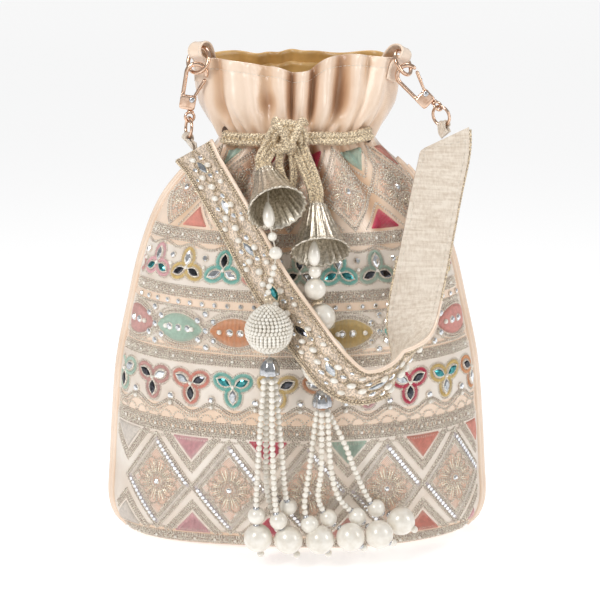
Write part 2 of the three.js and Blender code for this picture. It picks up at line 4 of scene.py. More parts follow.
import bpy
import numpy as np
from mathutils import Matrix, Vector


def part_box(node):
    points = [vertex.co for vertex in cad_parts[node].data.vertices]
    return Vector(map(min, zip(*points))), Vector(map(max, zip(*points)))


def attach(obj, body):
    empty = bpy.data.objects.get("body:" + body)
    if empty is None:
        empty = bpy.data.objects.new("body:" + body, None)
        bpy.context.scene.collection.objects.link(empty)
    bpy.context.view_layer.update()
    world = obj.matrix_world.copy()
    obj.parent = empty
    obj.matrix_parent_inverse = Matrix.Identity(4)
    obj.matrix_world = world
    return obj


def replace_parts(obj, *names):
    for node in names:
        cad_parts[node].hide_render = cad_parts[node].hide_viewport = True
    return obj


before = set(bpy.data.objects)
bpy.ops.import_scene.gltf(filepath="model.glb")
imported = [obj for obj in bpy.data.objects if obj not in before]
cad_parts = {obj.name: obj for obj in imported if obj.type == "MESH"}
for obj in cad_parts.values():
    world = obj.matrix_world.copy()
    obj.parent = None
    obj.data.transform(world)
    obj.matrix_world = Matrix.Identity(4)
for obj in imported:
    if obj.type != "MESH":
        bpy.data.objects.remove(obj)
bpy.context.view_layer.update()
metre = 0.001


# stage, lights and camera

stageLook = {
    "elevation": 14.0,
    "distance": 0.9,
    "target": (0.0016, 0.0, 0.131),
    "lens": 100.0,
    "floorColour": (0.8, 0.8, 0.805, 1),
    "worldColour": (1.0, 1.0, 1.0, 1),
    "worldStrength": 0.42,
    "floorGlow": 0.54,
}


def makeCamera(look):
    data = bpy.data.cameras.new("camera")
    data.lens = look["lens"]
    camera = bpy.data.objects.new("camera", data)
    bpy.context.scene.collection.objects.link(camera)
    tilt = math.radians(look["elevation"])
    back = Vector((0, -math.cos(tilt), math.sin(tilt)))
    camera.location = Vector(look["target"]) + back * look["distance"]
    camera.rotation_euler = (math.pi / 2 - tilt, 0, 0)
    bpy.context.scene.camera = camera


def areaLight(name, place, aim, size, power, colour=(1, 1, 1)):
    data = bpy.data.lights.new(name, "AREA")
    data.shape = "RECTANGLE"
    data.size, data.size_y = size
    data.energy = power
    data.color = colour
    light = bpy.data.objects.new(name, data)
    bpy.context.scene.collection.objects.link(light)
    light.location = place
    light.rotation_euler = (Vector(aim) - Vector(place)).to_track_quat("-Z", "Y").to_euler()


def makeStage(look):
    bpy.ops.mesh.primitive_plane_add(size=40, location=(0, 0, -0.0004))
    floor = bpy.context.object
    floor.name = "floor"
    material = bpy.data.materials.new("floorWhite")
    material.use_nodes = True
    shader = material.node_tree.nodes["Principled BSDF"]
    shader.inputs["Base Color"].default_value = look["floorColour"]
    shader.inputs["Roughness"].default_value = 0.12
    shader.inputs["Specular IOR Level"].default_value = 0.7
    shader.inputs["Emission Color"].default_value = (1, 1, 1, 1)
    shader.inputs["Emission Strength"].default_value = look["floorGlow"]
    floor.data.materials.append(material)
    world = bpy.data.worlds.new("softWhite")
    world.use_nodes = True
    background = world.node_tree.nodes["Background"]
    background.inputs["Color"].default_value = look["worldColour"]
    background.inputs["Strength"].default_value = look["worldStrength"]
    bpy.context.scene.world = world
    bpy.context.scene.view_settings.view_transform = "Standard"
    areaLight("keyBox", (-0.55, -0.75, 0.75), (0, 0, 0.13), (0.25, 0.4), 4.6)
    areaLight("sideBox", (0.75, -0.35, 0.45), (0, 0, 0.13), (0.2, 0.45), 1.6)
    areaLight("topBox", (0, 0.1, 0.95), (0, 0, 0.1), (0.4, 0.3), 2.2)


makeCamera(stageLook)
makeStage(stageLook)
print("stage ready")


# small numeric helpers

def vec(*xyz):
    return np.array(xyz, float)


def unit(v):
    v = np.asarray(v, float)
    return v / np.maximum(np.linalg.norm(v, axis=-1, keepdims=True), 1e-9)


def bump(x, centre, width):
    return np.exp(-((x - centre) / width) ** 2)


def smooth(x, low, high):
    t = np.clip((x - low) / (high - low), 0, 1)
    return t * t * (3 - 2 * t)


def centripetal(points, closed=False):
    # the centripetal Catmull-Rom curve through the points, as a function of 0 to 1
    points = [vec(*p) for p in points]
    spans = len(points) if closed else len(points) - 1

    def at(t):
        place = t * spans
        k = min(int(place), spans - 1)
        w = place - k
        if closed:
            p0, p1, p2, p3 = (points[(k + j) % len(points)] for j in (-1, 0, 1, 2))
        else:
            p1, p2 = points[k], points[k + 1]
            p0 = points[k - 1] if k > 0 else 2 * p1 - p2
            p3 = points[k + 2] if k + 2 < len(points) else 2 * p2 - p1
        d0, d1, d2 = (max(np.linalg.norm(b - a) ** 0.5, 1e-4) for a, b in ((p0, p1), (p1, p2), (p2, p3)))
        m1 = ((p1 - p0) / d0 - (p2 - p0) / (d0 + d1) + (p2 - p1) / d1) * d1
        m2 = ((p2 - p1) / d1 - (p3 - p1) / (d1 + d2) + (p3 - p2) / d2) * d1
        w2, w3 = w * w, w * w * w
        return ((2 * w3 - 3 * w2 + 1) * p1 + (w3 - 2 * w2 + w) * m1
                + (3 * w2 - 2 * w3) * p2 + (w3 - w2) * m2)

    return at


def sampleCurve(points, count, closed=False):
    # evenly spaced points along the smooth curve
    at = centripetal(points, closed)
    fine = np.array([at(i / 400) for i in range(401)])
    return respace(fine, count)


def respace(path, count):
    path = np.asarray(path, float)
    step = np.linalg.norm(np.diff(path, axis=0), axis=1)
    along = np.concatenate([[0], np.cumsum(step)])
    want = np.linspace(0, along[-1], count)
    return np.stack([np.interp(want, along, path[:, i]) for i in range(path.shape[1])], 1)


def pathLength(path):
    return float(np.linalg.norm(np.diff(np.asarray(path, float), axis=0), axis=1).sum())


def tangents(path):
    return unit(np.gradient(np.asarray(path, float), axis=0))


def carriedFrames(path, start=(0.31, 0.94, 0.12)):
    # a side and an up direction at each point, carried along without twist
    along = tangents(path)
    side = unit(np.cross(vec(*start), along[0]))
    sides = []
    for direction in along:
        side = unit(side - direction * np.dot(side, direction))
        sides.append(side)
    sides = np.array(sides)
    return along, sides, np.cross(along, sides)


# meshes and materials

class Builder:
    # gathers faces in millimetres, each with a material number, and makes one object of them
    def __init__(self):
        self.points = []
        self.faces = []
        self.marks = []
        self.count = 0

    def add(self, points, faces, mark=0):
        points = np.asarray(points, float)
        self.points.append(points)
        base = self.count
        self.faces.extend([[base + i for i in face] for face in faces])
        self.marks.extend([mark] * len(faces))
        self.count += len(points)

    def grid(self, rows, mark=0, closedAround=False, closedAlong=False):
        rows = np.asarray(rows, float)
        n, m = rows.shape[:2]
        faces = []
        for r in range(n if closedAlong else n - 1):
            s = (r + 1) % n
            for c in range(m if closedAround else m - 1):
                d = (c + 1) % m
                faces.append([r * m + c, r * m + d, s * m + d, s * m + c])
        self.add(rows.reshape(-1, 3), faces, mark)

    def tube(self, path, radius, sides=10, mark=0, closed=False, flat=1.0, frames=None):
        path = np.asarray(path, float)
        _, side, up = frames if frames is not None else carriedFrames(path)
        radius = np.broadcast_to(np.asarray(radius, float), (len(path),))
        turn = np.arange(sides) / sides * 2 * math.pi
        rows = (path[:, None] + side[:, None] * (radius[:, None] * np.cos(turn))[..., None]
                + up[:, None] * (radius[:, None] * np.sin(turn) * flat)[..., None])
        base = self.count
        self.grid(rows, mark, closedAround=True, closedAlong=closed)
        if not closed:
            last = base + (len(path) - 1) * sides
            self.faces.append([base + i for i in range(sides)][::-1])
            self.faces.append([last + i for i in range(sides)])
            self.marks += [mark, mark]

    def make(self, name, materials, body, slot, smoothShade=True):
        mesh = bpy.data.meshes.new(name)
        mesh.from_pydata((np.concatenate(self.points) * metre).tolist(), [], self.faces)
        for material in materials:
            mesh.materials.append(material)
        if len(materials) > 1:
            mesh.polygons.foreach_set("material_index", self.marks)
        mesh.polygons.foreach_set("use_smooth", [smoothShade] * len(mesh.polygons))
        mesh.validate()
        mesh.update()
        piece = bpy.data.objects.new(name, mesh)
        bpy.context.scene.collection.objects.link(piece)
        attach(piece, body)
        return piece


def turnOutwards(piece):
    # makes every closed shell's faces point out
    bpy.context.view_layer.objects.active = piece
    for other in bpy.context.selected_objects:
        other.select_set(False)
    piece.select_set(True)
    bpy.ops.object.mode_set(mode="EDIT")
    bpy.ops.mesh.select_all(action="SELECT")
    bpy.ops.mesh.normals_make_consistent(inside=False)
    bpy.ops.object.mode_set(mode="OBJECT")
    piece.select_set(False)


def link(tree, source, target):
    tree.links.new(source, target)


def newMaterial(name, colour, roughness=0.5, metallic=0.0, sheen=0.0, coat=0.0, specular=0.5):
    material = bpy.data.materials.new(name)
    material.use_nodes = True
    shader = material.node_tree.nodes["Principled BSDF"]
    shader.inputs["Base Color"].default_value = (*colour, 1)
    shader.inputs["Roughness"].default_value = roughness
    shader.inputs["Metallic"].default_value = metallic
    shader.inputs["Sheen Weight"].default_value = sheen
    shader.inputs["Coat Weight"].default_value = coat
    shader.inputs["Specular IOR Level"].default_value = specular
    return material, material.node_tree, shader


def objectSpace(tree, scale=(1, 1, 1), turn=(0, 0, 0)):
    where = tree.nodes.new("ShaderNodeTexCoord")
    mapping = tree.nodes.new("ShaderNodeMapping")
    mapping.inputs["Scale"].default_value = scale
    mapping.inputs["Rotation"].default_value = turn
    link(tree, where.outputs["Object"], mapping.inputs["Vector"])
    return mapping.outputs["Vector"]


def noiseNode(tree, vector, scale, detail=3.0, roughness=0.5):
    node = tree.nodes.new("ShaderNodeTexNoise")
    node.inputs["Scale"].default_value = scale
    node.inputs["Detail"].default_value = detail
    node.inputs["Roughness"].default_value = roughness
    link(tree, vector, node.inputs["Vector"])
    return node.outputs["Fac"]


def waveNode(tree, vector, scale, distortion=0.0, direction="X"):
    node = tree.nodes.new("ShaderNodeTexWave")
    node.bands_direction = direction
    node.inputs["Scale"].default_value = scale
    node.inputs["Distortion"].default_value = distortion
    link(tree, vector, node.inputs["Vector"])
    return node.outputs["Fac"]


def rampNode(tree, fac, stops):
    node = tree.nodes.new("ShaderNodeValToRGB")
    ramp = node.color_ramp
    while len(ramp.elements) < len(stops):
        ramp.elements.new(0.5)
    for element, (place, colour) in zip(ramp.elements, stops):
        element.position = place
        element.color = (*colour, 1)
    link(tree, fac, node.inputs["Fac"])
    return node.outputs["Color"]


def mathNode(tree, operation, a, b):
    node = tree.nodes.new("ShaderNodeMath")
    node.operation = operation
    for socket, value in zip(node.inputs, (a, b)):
        if isinstance(value, (int, float)):
            socket.default_value = value
        else:
            link(tree, value, socket)
    return node.outputs["Value"]


def bumpNode(tree, shader, height, strength, distance):
    node = tree.nodes.new("ShaderNodeBump")
    node.inputs["Strength"].default_value = strength
    node.inputs["Distance"].default_value = distance
    link(tree, height, node.inputs["Height"])
    link(tree, node.outputs["Normal"], shader.inputs["Normal"])


# fabrics

def satinMaterial(name, deep, pale, roughness=0.34, wrinkle=0.5):
    material, tree, shader = newMaterial(name, pale, roughness, sheen=0.2, coat=0.3, specular=0.6)
    shader.inputs["Coat Roughness"].default_value = 0.26
    shader.inputs["Anisotropic"].default_value = 0.5
    plain = objectSpace(tree)
    cloud = noiseNode(tree, plain, 38.0, 4.0, 0.55)
    link(tree, rampNode(tree, cloud, [(0.32, deep), (0.62, pale)]), shader.inputs["Base Color"])
    crease = noiseNode(tree, objectSpace(tree, (1, 1, 0.45)), 90.0, 3.0, 0.6)
    weave = waveNode(tree, objectSpace(tree, turn=(0.4, 0.3, 0.7)), 520.0, 1.5)
    height = mathNode(tree, "ADD", mathNode(tree, "MULTIPLY", crease, wrinkle),
                      mathNode(tree, "MULTIPLY", weave, 0.03))
    bumpNode(tree, shader, height, 0.35, 0.004)
    spread = mathNode(tree, "MULTIPLY_ADD", cloud, 0.16)
    tree.nodes[-1].inputs[2].default_value = roughness - 0.08
    link(tree, spread, shader.inputs["Roughness"])
    return material


def threadMaterial(name, colour, metallic=0.0, roughness=0.42, sheen=0.2, vary=0.18, scale=900.0):
    material, tree, shader = newMaterial(name, colour, roughness, metallic, sheen)
    fleck = noiseNode(tree, objectSpace(tree), scale, 2.0, 0.6)
    deep = tuple(c * (1 - vary) for c in colour)
    pale = tuple(min(c * (1 + vary * 0.6), 1.0) for c in colour)
    spread = 0.2 if vary < 0.3 else 0.11
    link(tree, rampNode(tree, fleck, [(0.5 - spread, deep), (0.5 + spread, pale)]),
         shader.inputs["Base Color"])
    ply = waveNode(tree, objectSpace(tree, turn=(0.5, 0.6, 0.8)), 900.0, 2.0)
    bumpNode(tree, shader, ply, 0.25, 0.0004)
    return material


def slubSilkMaterial(name, deep, pale):
    material, tree, shader = newMaterial(name, pale, 0.55, sheen=0.3)
    warp = noiseNode(tree, objectSpace(tree, (1.0, 1.0, 0.09)), 900.0, 3.0, 0.6)
    weft = noiseNode(tree, objectSpace(tree, (0.07, 1.0, 1.0)), 700.0, 3.0, 0.6)
    both = mathNode(tree, "ADD", mathNode(tree, "MULTIPLY", warp, 0.45),
                    mathNode(tree, "MULTIPLY", weft, 0.55))
    link(tree, rampNode(tree, both, [(0.36, deep), (0.6, pale)]), shader.inputs["Base Color"])
    bumpNode(tree, shader, both, 0.5, 0.0008)
    return material


def metalMaterial(name, deep, pale, roughness=0.2, grain=500.0, vary=0.08):
    material, tree, shader = newMaterial(name, pale, roughness, metallic=1.0)
    tarnish = noiseNode(tree, objectSpace(tree), grain, 4.0, 0.6)
    link(tree, rampNode(tree, tarnish, [(0.35, deep), (0.62, pale)]), shader.inputs["Base Color"])
    rough = mathNode(tree, "MULTIPLY_ADD", tarnish, vary)
    tree.nodes[-1].inputs[2].default_value = roughness - vary / 2
    link(tree, rough, shader.inputs["Roughness"])
    return material


def pearlMaterial(name, deep, pale):
    material, tree, shader = newMaterial(name, pale, 0.3, metallic=0.08, coat=0.7, specular=0.6)
    shader.inputs["Coat Roughness"].default_value = 0.14
    nacre = noiseNode(tree, objectSpace(tree), 240.0, 2.0, 0.5)
    link(tree, rampNode(tree, nacre, [(0.3, deep), (0.65, pale)]), shader.inputs["Base Color"])
    return material


def foldShadeMaterial(base, name, stops):
    # satin with painted shade in its folds: darker in the valleys and paler on the ridges, by the shell's own
    # relief
    material = base.copy()
    material.name = name
    tree = material.node_tree
    shader = tree.nodes["Principled BSDF"]
    cloud = shader.inputs["Base Color"].links[0].from_socket
    foldShade = tree.nodes.new("ShaderNodeAttribute")
    foldShade.attribute_name = "foldShade"
    mix = tree.nodes.new("ShaderNodeMix")
    mix.data_type = "RGBA"
    mix.blend_type = "MULTIPLY"
    mix.inputs["Factor"].default_value = 1.0
    link(tree, cloud, mix.inputs["A"])
    link(tree, rampNode(tree, foldShade.outputs["Fac"], stops), mix.inputs["B"])
    link(tree, mix.outputs["Result"], shader.inputs["Base Color"])
    return material


satin = satinMaterial("champagneSatin", (0.86, 0.66, 0.50), (0.94, 0.76, 0.61), 0.24, 0.75)
# the ramp's dark stops paint shade into the fold valleys, and its white stops leave the ridges plain
foldShadedSatin = foldShadeMaterial(satin, "paintedFoldShadeSatin", [
    (0.0, (0.56, 0.40, 0.28)), (0.36, (0.86, 0.76, 0.65)), (0.52, (0.98, 0.96, 0.94)),
    (0.8, (1.0, 1.0, 1.0))])
bandGround = satinMaterial("bandGround", (0.74, 0.62, 0.51), (0.87, 0.79, 0.70), 0.4, 0.3)
lining = satinMaterial("goldLining", (0.46, 0.24, 0.06), (0.84, 0.54, 0.20), 0.34, 0.6)
silk = slubSilkMaterial("slubSilk", (0.62, 0.51, 0.40), (0.82, 0.73, 0.62))
zari = threadMaterial("zariThread", (0.97, 0.79, 0.68), 0.2, 0.3, vary=0.34, scale=1100.0)
paleZari = threadMaterial("paleZari", (0.98, 0.80, 0.64), 0.4, 0.2, vary=0.3, scale=800.0)
goldLace = threadMaterial("goldLace", (0.84, 0.67, 0.49), 0.45, 0.28, vary=0.45, scale=1100.0)
cordBraid = threadMaterial("antiqueCord", (0.82, 0.63, 0.44), 0.42, 0.34, vary=0.55, scale=1300.0)
threadWhite = threadMaterial("pearlThread", (0.78, 0.71, 0.60))
slitShade = threadMaterial("slitShade", (0.10, 0.06, 0.04), 0.0, 0.8, 0.0)
pearl = pearlMaterial("pearl", (0.80, 0.74, 0.64), (0.94, 0.90, 0.82))
bellMetal = metalMaterial("antiqueBell", (0.36, 0.32, 0.25), (0.78, 0.72, 0.62), 0.38, 800.0, 0.2)
roseGold = metalMaterial("roseGold", (0.62, 0.40, 0.28), (0.80, 0.58, 0.44), 0.13)
steel = metalMaterial("polishedSteel", (0.42, 0.43, 0.45), (0.66, 0.67, 0.69), 0.12)
crystal = metalMaterial("foiledCrystal", (0.62, 0.64, 0.66), (0.95, 0.96, 0.98), 0.06)
darkMirror = metalMaterial("darkMirror", (0.03, 0.03, 0.035), (0.10, 0.10, 0.11), 0.08)
greyMirror = metalMaterial("greyMirror", (0.34, 0.36, 0.38), (0.62, 0.64, 0.66), 0.07)
tealMirror = metalMaterial("tealMirror", (0.02, 0.16, 0.17), (0.10, 0.34, 0.35), 0.1)
for softBead in (crystal, greyMirror):
    softBead.node_tree.nodes["Principled BSDF"].inputs["Coat Weight"].default_value = 0.3

threadColours = {
    "mint": (0.56, 0.72, 0.60),
    "teal": (0.22, 0.66, 0.58),
    "coral": (0.86, 0.36, 0.28),
    "pink": (0.86, 0.50, 0.52),
    "crimson": (0.74, 0.07, 0.14),
    "orange": (0.88, 0.42, 0.20),
    "yellow": (0.86, 0.64, 0.26),
    "rose": (0.74, 0.42, 0.38),
    "lilac": (0.66, 0.58, 0.62),
    "cream": (0.82, 0.74, 0.66),
    "peach": (0.84, 0.56, 0.42),
    "salmon": (0.82, 0.38, 0.33),
}
threads = {name: threadMaterial(name + "Thread", colour, 0.0, 0.38, 0.3, 0.14, 500.0)
           for name, colour in threadColours.items()}
print("materials ready")


# the pouch

pouch = {
    "rim": 262.0,
    "neck": 221.0,
    "wall": 1.6,
    "liningInset": 2.6,
    "liningWall": 0.8,
    "liningRim": 256.5,
    "pipingTop": 204.0,
    "pipingRadius": 2.0,
    # height, half width, half depth, pinch of the sides
    "profile": [
        (0, 87, 29, 1), (4, 94.5, 33, 1), (10, 99.5, 36.5, 1.05), (20, 102, 41, 1.1), (38, 101, 46, 1.15),
        (72, 98.5, 51, 1.2), (100, 95.5, 51.5, 1.2), (130, 89, 49.5, 1.18), (160, 81.5, 45.5, 1.12),
        (186, 71, 39.5, 1.06), (204, 57, 32.5, 1), (214, 46, 27.5, 1), (221, 41, 25, 1), (230, 47, 25.5, 1),
        (240, 52, 25, 1), (262, 54.5, 21.5, 1),
    ],
    # folds of the front frill: place at the neck and at the rim, as fractions of the half width,
    # then height and width
    "frillFolds": [
        (-0.86, -0.90, 1.6, 0.06), (-0.74, -0.76, -2.0, 0.05), (-0.55, -0.60, 2.4, 0.08),
        (-0.42, -0.44, 1.8, 0.05), (-0.30, -0.30, -1.6, 0.06), (-0.16, -0.15, 2.2, 0.06),
        (-0.06, -0.05, -4.6, 0.035), (0.03, 0.06, 3.4, 0.05), (0.13, 0.17, -4.8, 0.04),
        (0.26, 0.30, 3.0, 0.07), (0.38, 0.43, -3.0, 0.07), (0.50, 0.58, 2.6, 0.05),
        (0.60, 0.70, -1.6, 0.04), (0.70, 0.83, 2.2, 0.07),
    ],
    # folds below the neck: place at the neck, place where they run out, height, width, where they run out
    # folds of the back, given in the same way
    "backFolds": [
        (-0.70, -0.80, -2.4, 0.06, 110), (-0.52, -0.60, 1.8, 0.06, 120), (-0.36, -0.46, -3.2, 0.05, 90),
        (-0.20, -0.22, 2.0, 0.06, 120), (-0.05, -0.10, -3.0, 0.05, 100), (0.10, 0.12, 2.2, 0.06, 110),
        (0.24, 0.32, -3.4, 0.05, 85), (0.42, 0.50, 2.0, 0.06, 115), (0.58, 0.66, -2.8, 0.06, 105),
        (0.74, 0.80, 1.6, 0.06, 125),
    ],
    # dimples of the frill: place, height, depth, width, reach up and down
    "dimples": [(-0.26, 241, -2.6, 0.10, 7), (0.46, 243, -3.6, 0.09, 10), (-0.62, 240, 1.8, 0.10, 9),
                (0.66, 240, 2.4, 0.08, 12), (-0.80, 236, -2.4, 0.05, 8), (0.30, 237, 1.6, 0.07, 7)],
    "bodyFolds": [
        (-0.80, -0.84, -1.8, 0.07, 150), (-0.62, -0.60, 2.0, 0.09, 140), (-0.45, -0.42, -3.2, 0.07, 135),
        (-0.28, -0.25, 2.2, 0.08, 150), (-0.10, -0.07, -3.0, 0.06, 140), (0.04, 0.05, 2.0, 0.06, 160),
        (0.20, 0.19, -3.6, 0.07, 140), (0.36, 0.42, 2.6, 0.10, 150), (0.55, 0.60, -2.6, 0.07, 145),
        (0.70, 0.76, 1.6, 0.08, 160),
    ],
}
profile = np.array(pouch["profile"], float)


def outlineAt(z):
    # half width, half depth and pinch at any height, on a smooth curve through the profile
    z = np.asarray(z, float)
    last = len(profile) - 1
    i = np.clip(np.searchsorted(profile[:, 0], z, side="right") - 1, 0, last - 1)
    p0, p1, p2, p3 = (profile[np.clip(i + k, 0, last)] for k in (-1, 0, 1, 2))
    span = (p2[..., 0] - p1[..., 0])
    t = ((z - p1[..., 0]) / span)[..., None]
    m1 = (p2 - p0) / (p2[..., :1] - p0[..., :1]) * span[..., None]
    m2 = (p3 - p1) / (p3[..., :1] - p1[..., :1]) * span[..., None]
    t2, t3 = t * t, t * t * t
    out = (2 * t3 - 3 * t2 + 1) * p1 + (t3 - 2 * t2 + t) * m1 + (3 * t2 - 2 * t3) * p2 + (t3 - t2) * m2
    return out[..., 1], out[..., 2], out[..., 3]


def pouchPoint(z, angle, inset=0.0):
    width, depth, pinch = outlineAt(z)
    c = np.cos(angle)
    x = (width - inset) * np.sin(angle)
    y = -(depth - inset) * np.sign(c) * np.abs(c) ** pinch
    return np.stack(np.broadcast_arrays(x, y, np.asarray(z, float)), -1)


def foldHeight(across, z, folds, neck, rim):
    # folds whose place moves from the neck to the rim
    total = 0.0
    share = np.clip((z - neck) / (rim - neck), 0, 1)
    for low, high, height, width in folds:
        height = height * (1.5 if height < 0 else 1.25)
        total = total + height * bump(across, low + (high - low) * share, width * (0.8 + 0.35 * share))
    return total


def frontRelief(across, z):
    # how far the front stands out from its smooth shape
    frill = smooth(z, 224, 240)
    relief = frill * foldHeight(across, z, pouch["frillFolds"], pouch["neck"], pouch["rim"])
    for top, low, height, width, end in pouch["bodyFolds"]:
        share = np.clip((pouch["neck"] - z) / (pouch["neck"] - end), 0, 1)
        strength = (1 - smooth(share, 0.15, 1.0)) * (1 - smooth(z, 214, 226))
        height = height * (1.55 if height < 0 else 1.0)
        relief = relief + height * strength * bump(across, top + (low - top) * share,
                                                   width * (0.55 + 0.7 * share))
    for place, height, depth, width, reach in pouch["dimples"]:
        relief = relief + depth * bump(across, place, width) * bump(z, height, reach)
    gather = 1.1 * np.cos(across * 46 + 1.2 * np.sin(across * 9)) * bump(z, 222, 13)
    sag = 0.7 * np.sin(across * 4.1 + z * 0.031) * np.sin(z * 0.043 + 1.0) * (1 - smooth(z, 190, 215))
    channel = 3.6 * bump(z, 223, 5.0) * smooth(np.abs(across), 0.88, 0.95)
    hem = channel - 0.45 * bump(z, 257.2, 0.7) + 0.25 * np.cos(across * 70) * bump(z, 259.5, 2.2)
    return (relief + gather + sag + hem) * (1 - np.abs(across) ** 14)


def backRelief(across, z):
    frill = smooth(z, 226, 242)
    gather = 1.3 * np.cos(across * 31 + 1.7 * np.sin(across * 7)) * bump(z, 221, 26) * (1 - 0.6 * frill)
    pleats = frill * 1.6 * np.cos(across * 19 + 2.0 * np.sin(across * 5 + 1))
    channel = 5.0 * bump(z, 223, 5.2) - 0.8 * bump(z, 214.8, 1.1) - 0.8 * bump(z, 231.2, 1.1)
    sag = np.sin(across * 3.2 + 0.6) * np.sin(z * 0.04) * (1 - smooth(z, 190, 215))
    for top, low, height, width, end in pouch["backFolds"]:
        share = np.clip((pouch["neck"] - z) / (pouch["neck"] - end), 0, 1)
        strength = (1 - smooth(share, 0.1, 1.0)) * (1 - smooth(z, 208, 217))
        sag = sag + height * strength * bump(across, top + (low - top) * share, width * (0.5 + 0.9 * share))
    hem = -0.45 * bump(z, 257.2, 0.7)
    return (gather + pleats + channel + sag + hem) * (1 - np.abs(across) ** 10)


def frontRim(across):
    # height of the front's rim above its plain height
    return (-0.5 - 6.0 * bump(across, -0.02, 0.2) - 2.0 * bump(across, 0.12, 0.1)
            + 2.6 * bump(across, 0.5, 0.28) - 1.5 * bump(across, -0.45, 0.2) - 1.4 * bump(across, -0.3, 0.12))


def shellSurface(side, levels, angles, inset=0.0, relief=1.0):
    # a grid of points of the front (side 1) or back (side -1) shell
    z, angle = np.meshgrid(levels, angles, indexing="ij")
    across = np.sin(angle)
    base = pouchPoint(z, angle, inset)
    ahead = pouchPoint(z, angle + 0.01, inset) - pouchPoint(z, angle - 0.01, inset)
    above = pouchPoint(z + 0.5, angle, inset) - pouchPoint(z - 0.5, angle, inset)
    normal = unit(np.cross(ahead, above))
    lift = (frontRelief if side > 0 else backRelief)(across, z) * relief
    points = base + normal * lift[..., None]
    rim = frontRim(across) if side > 0 else 0.8 * np.cos(across * 9)
    points[..., 2] += rim * smooth(z, 234, 262)
    points[..., 1] *= side
    return points


def makeShell(name, side, columns, levels, materials, zones, node, slot):
    halfSlot = 0.35
    end = math.pi / 2 - 0.006
    angles = np.linspace(-end, end, columns)
    outer = shellSurface(side, levels, angles)
    inner = shellSurface(side, levels, angles, pouch["wall"] * 0.9)
    for layer in (outer, inner):
        layer[:, 0, 1] = -side * halfSlot * 0.2
        layer[:, -1, 1] = -side * halfSlot * 0.2
    shell = Builder()
    rings = np.concatenate([outer, inner[:, ::-1]], axis=1)
    hem = 0.5 * (rings[-1] + np.concatenate([inner, outer[:, ::-1]], axis=1)[-1])
    hem[:, 2] += 0.7
    rows = np.concatenate([rings, hem[None]], axis=0)
    n, m = rows.shape[:2]
    half = m // 2
    for r in range(n - 1):
        mark = zones(levels[min(r, len(levels) - 1)])
        ring = [[r * m + c, r * m + (c + 1) % m, (r + 1) * m + (c + 1) % m, (r + 1) * m + c]
                for c in range(m)]
        shell.faces += ring
        shell.marks += [mark if c < half else 2 for c in range(m)]
    shell.faces += [[i, m - 1 - i, m - 2 - i, i + 1] for i in range(half - 1)]
    shell.marks += [0] * (half - 1)
    top = (n - 1) * m
    shell.faces += [[top + i + 1, top + m - 2 - i, top + m - 1 - i, top + i] for i in range(half - 1)]
    shell.marks += [0] * (half - 1)
    shell.points.append(rows.reshape(-1, 3))
    shell.count = n * m
    piece = shell.make(name, materials, "bag", slot)
    heights, places = np.meshgrid(levels, np.sin(angles), indexing="ij")
    relief = (frontRelief if side > 0 else backRelief)(places, heights)
    # painted fold shade: the relief stored per point is low in the valleys, where it darkens the satin
    foldShade = np.clip(0.5 + relief * 0.12, 0, 1)
    foldShade = np.concatenate([foldShade, foldShade[:, ::-1]], axis=1)
    foldShade = np.concatenate([foldShade, foldShade[-1:]], axis=0)
    values = piece.data.attributes.new("foldShade", "FLOAT", "POINT")
    values.data.foreach_set("value", foldShade.reshape(-1).astype(np.float32))
    turnOutwards(piece)
    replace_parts(piece, node)
    return piece


frontLevels = np.concatenate([np.linspace(0, 20, 9), np.linspace(24, 140, 36), np.linspace(142, 262, 84)])
backLevels = np.concatenate([np.linspace(0, 20, 7), np.linspace(26, 170, 24), np.linspace(173, 262, 52)])
groundBands = [(8, 68), (81, 107), (115, 135), (146, 166)]


def frontZone(z):
    return 1 if any(low <= z < high for low, high in groundBands) else 0


front = makeShell("frontShell", 1, 170, frontLevels, [foldShadedSatin, bandGround, lining], frontZone,
                  "front_panel", "embroidered_front")
back = makeShell("backShell", -1, 120, backLevels, [foldShadedSatin, bandGround, lining], lambda z: 0, "back_panel",
                 "satin")


def makeLining():
    # one cup of gold cloth, following the folds of both shells at the mouth
    count = 90
    levels = np.concatenate([np.linspace(3.2, 190, 22), np.linspace(196, pouch["liningRim"], 26)])
    angles = np.linspace(-math.pi / 2, math.pi / 2, count)
    rings = []
    for inset in (pouch["liningInset"] + 0.3, pouch["liningInset"] + 0.3 + pouch["liningWall"]):
        fronts = shellSurface(1, levels, angles, inset, 0.92)
        backs = shellSurface(-1, levels, angles, inset, 0.92)
        # drop the lining's hem below the shell's hem
        rings.append(np.concatenate([fronts, backs[:, ::-1][:, 1:-1]], axis=1))
    outer, inner = rings
    rows = np.concatenate([outer, inner[::-1]], axis=0)
    cup = Builder()
    cup.grid(rows, closedAround=True)
    m = rows.shape[1]
    for ring, flip in ((0, False), (rows.shape[0] - 1, True)):
        centre = rows[ring].mean(axis=0)
        base = cup.count
        cup.points.append(centre[None])
        cup.count += 1
        fan = [[ring * m + (i + 1) % m, ring * m + i, base] for i in range(m)]
        cup.faces += [face[::-1] for face in fan] if flip else fan
        cup.marks += [0] * m
    piece = cup.make("goldLiningCup", [lining], "bag", "lining")
    turnOutwards(piece)
    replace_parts(piece, "lining")
    return piece


liningCup = makeLining()
print("pouch ready")


def hemStitches():
    row = Builder()
    for side, ahead in ((1, -1), (-1, 1)):
        line = shellSurface(side, [257.2], np.linspace(-1.42, 1.42, 300))[0]
        line[:, 1] += ahead * 0.12
        line = respace(line, int(pathLength(line) / 0.9))
        for i in range(0, len(line) - 3, 3):
            row.tube(line[i:i + 3], 0.19, 6)
    row.make("hemStitches", [threadWhite], "bag", "thread")


hemStitches()


# embroidery: drawn flat as across, up and height, then laid on the curved cloth

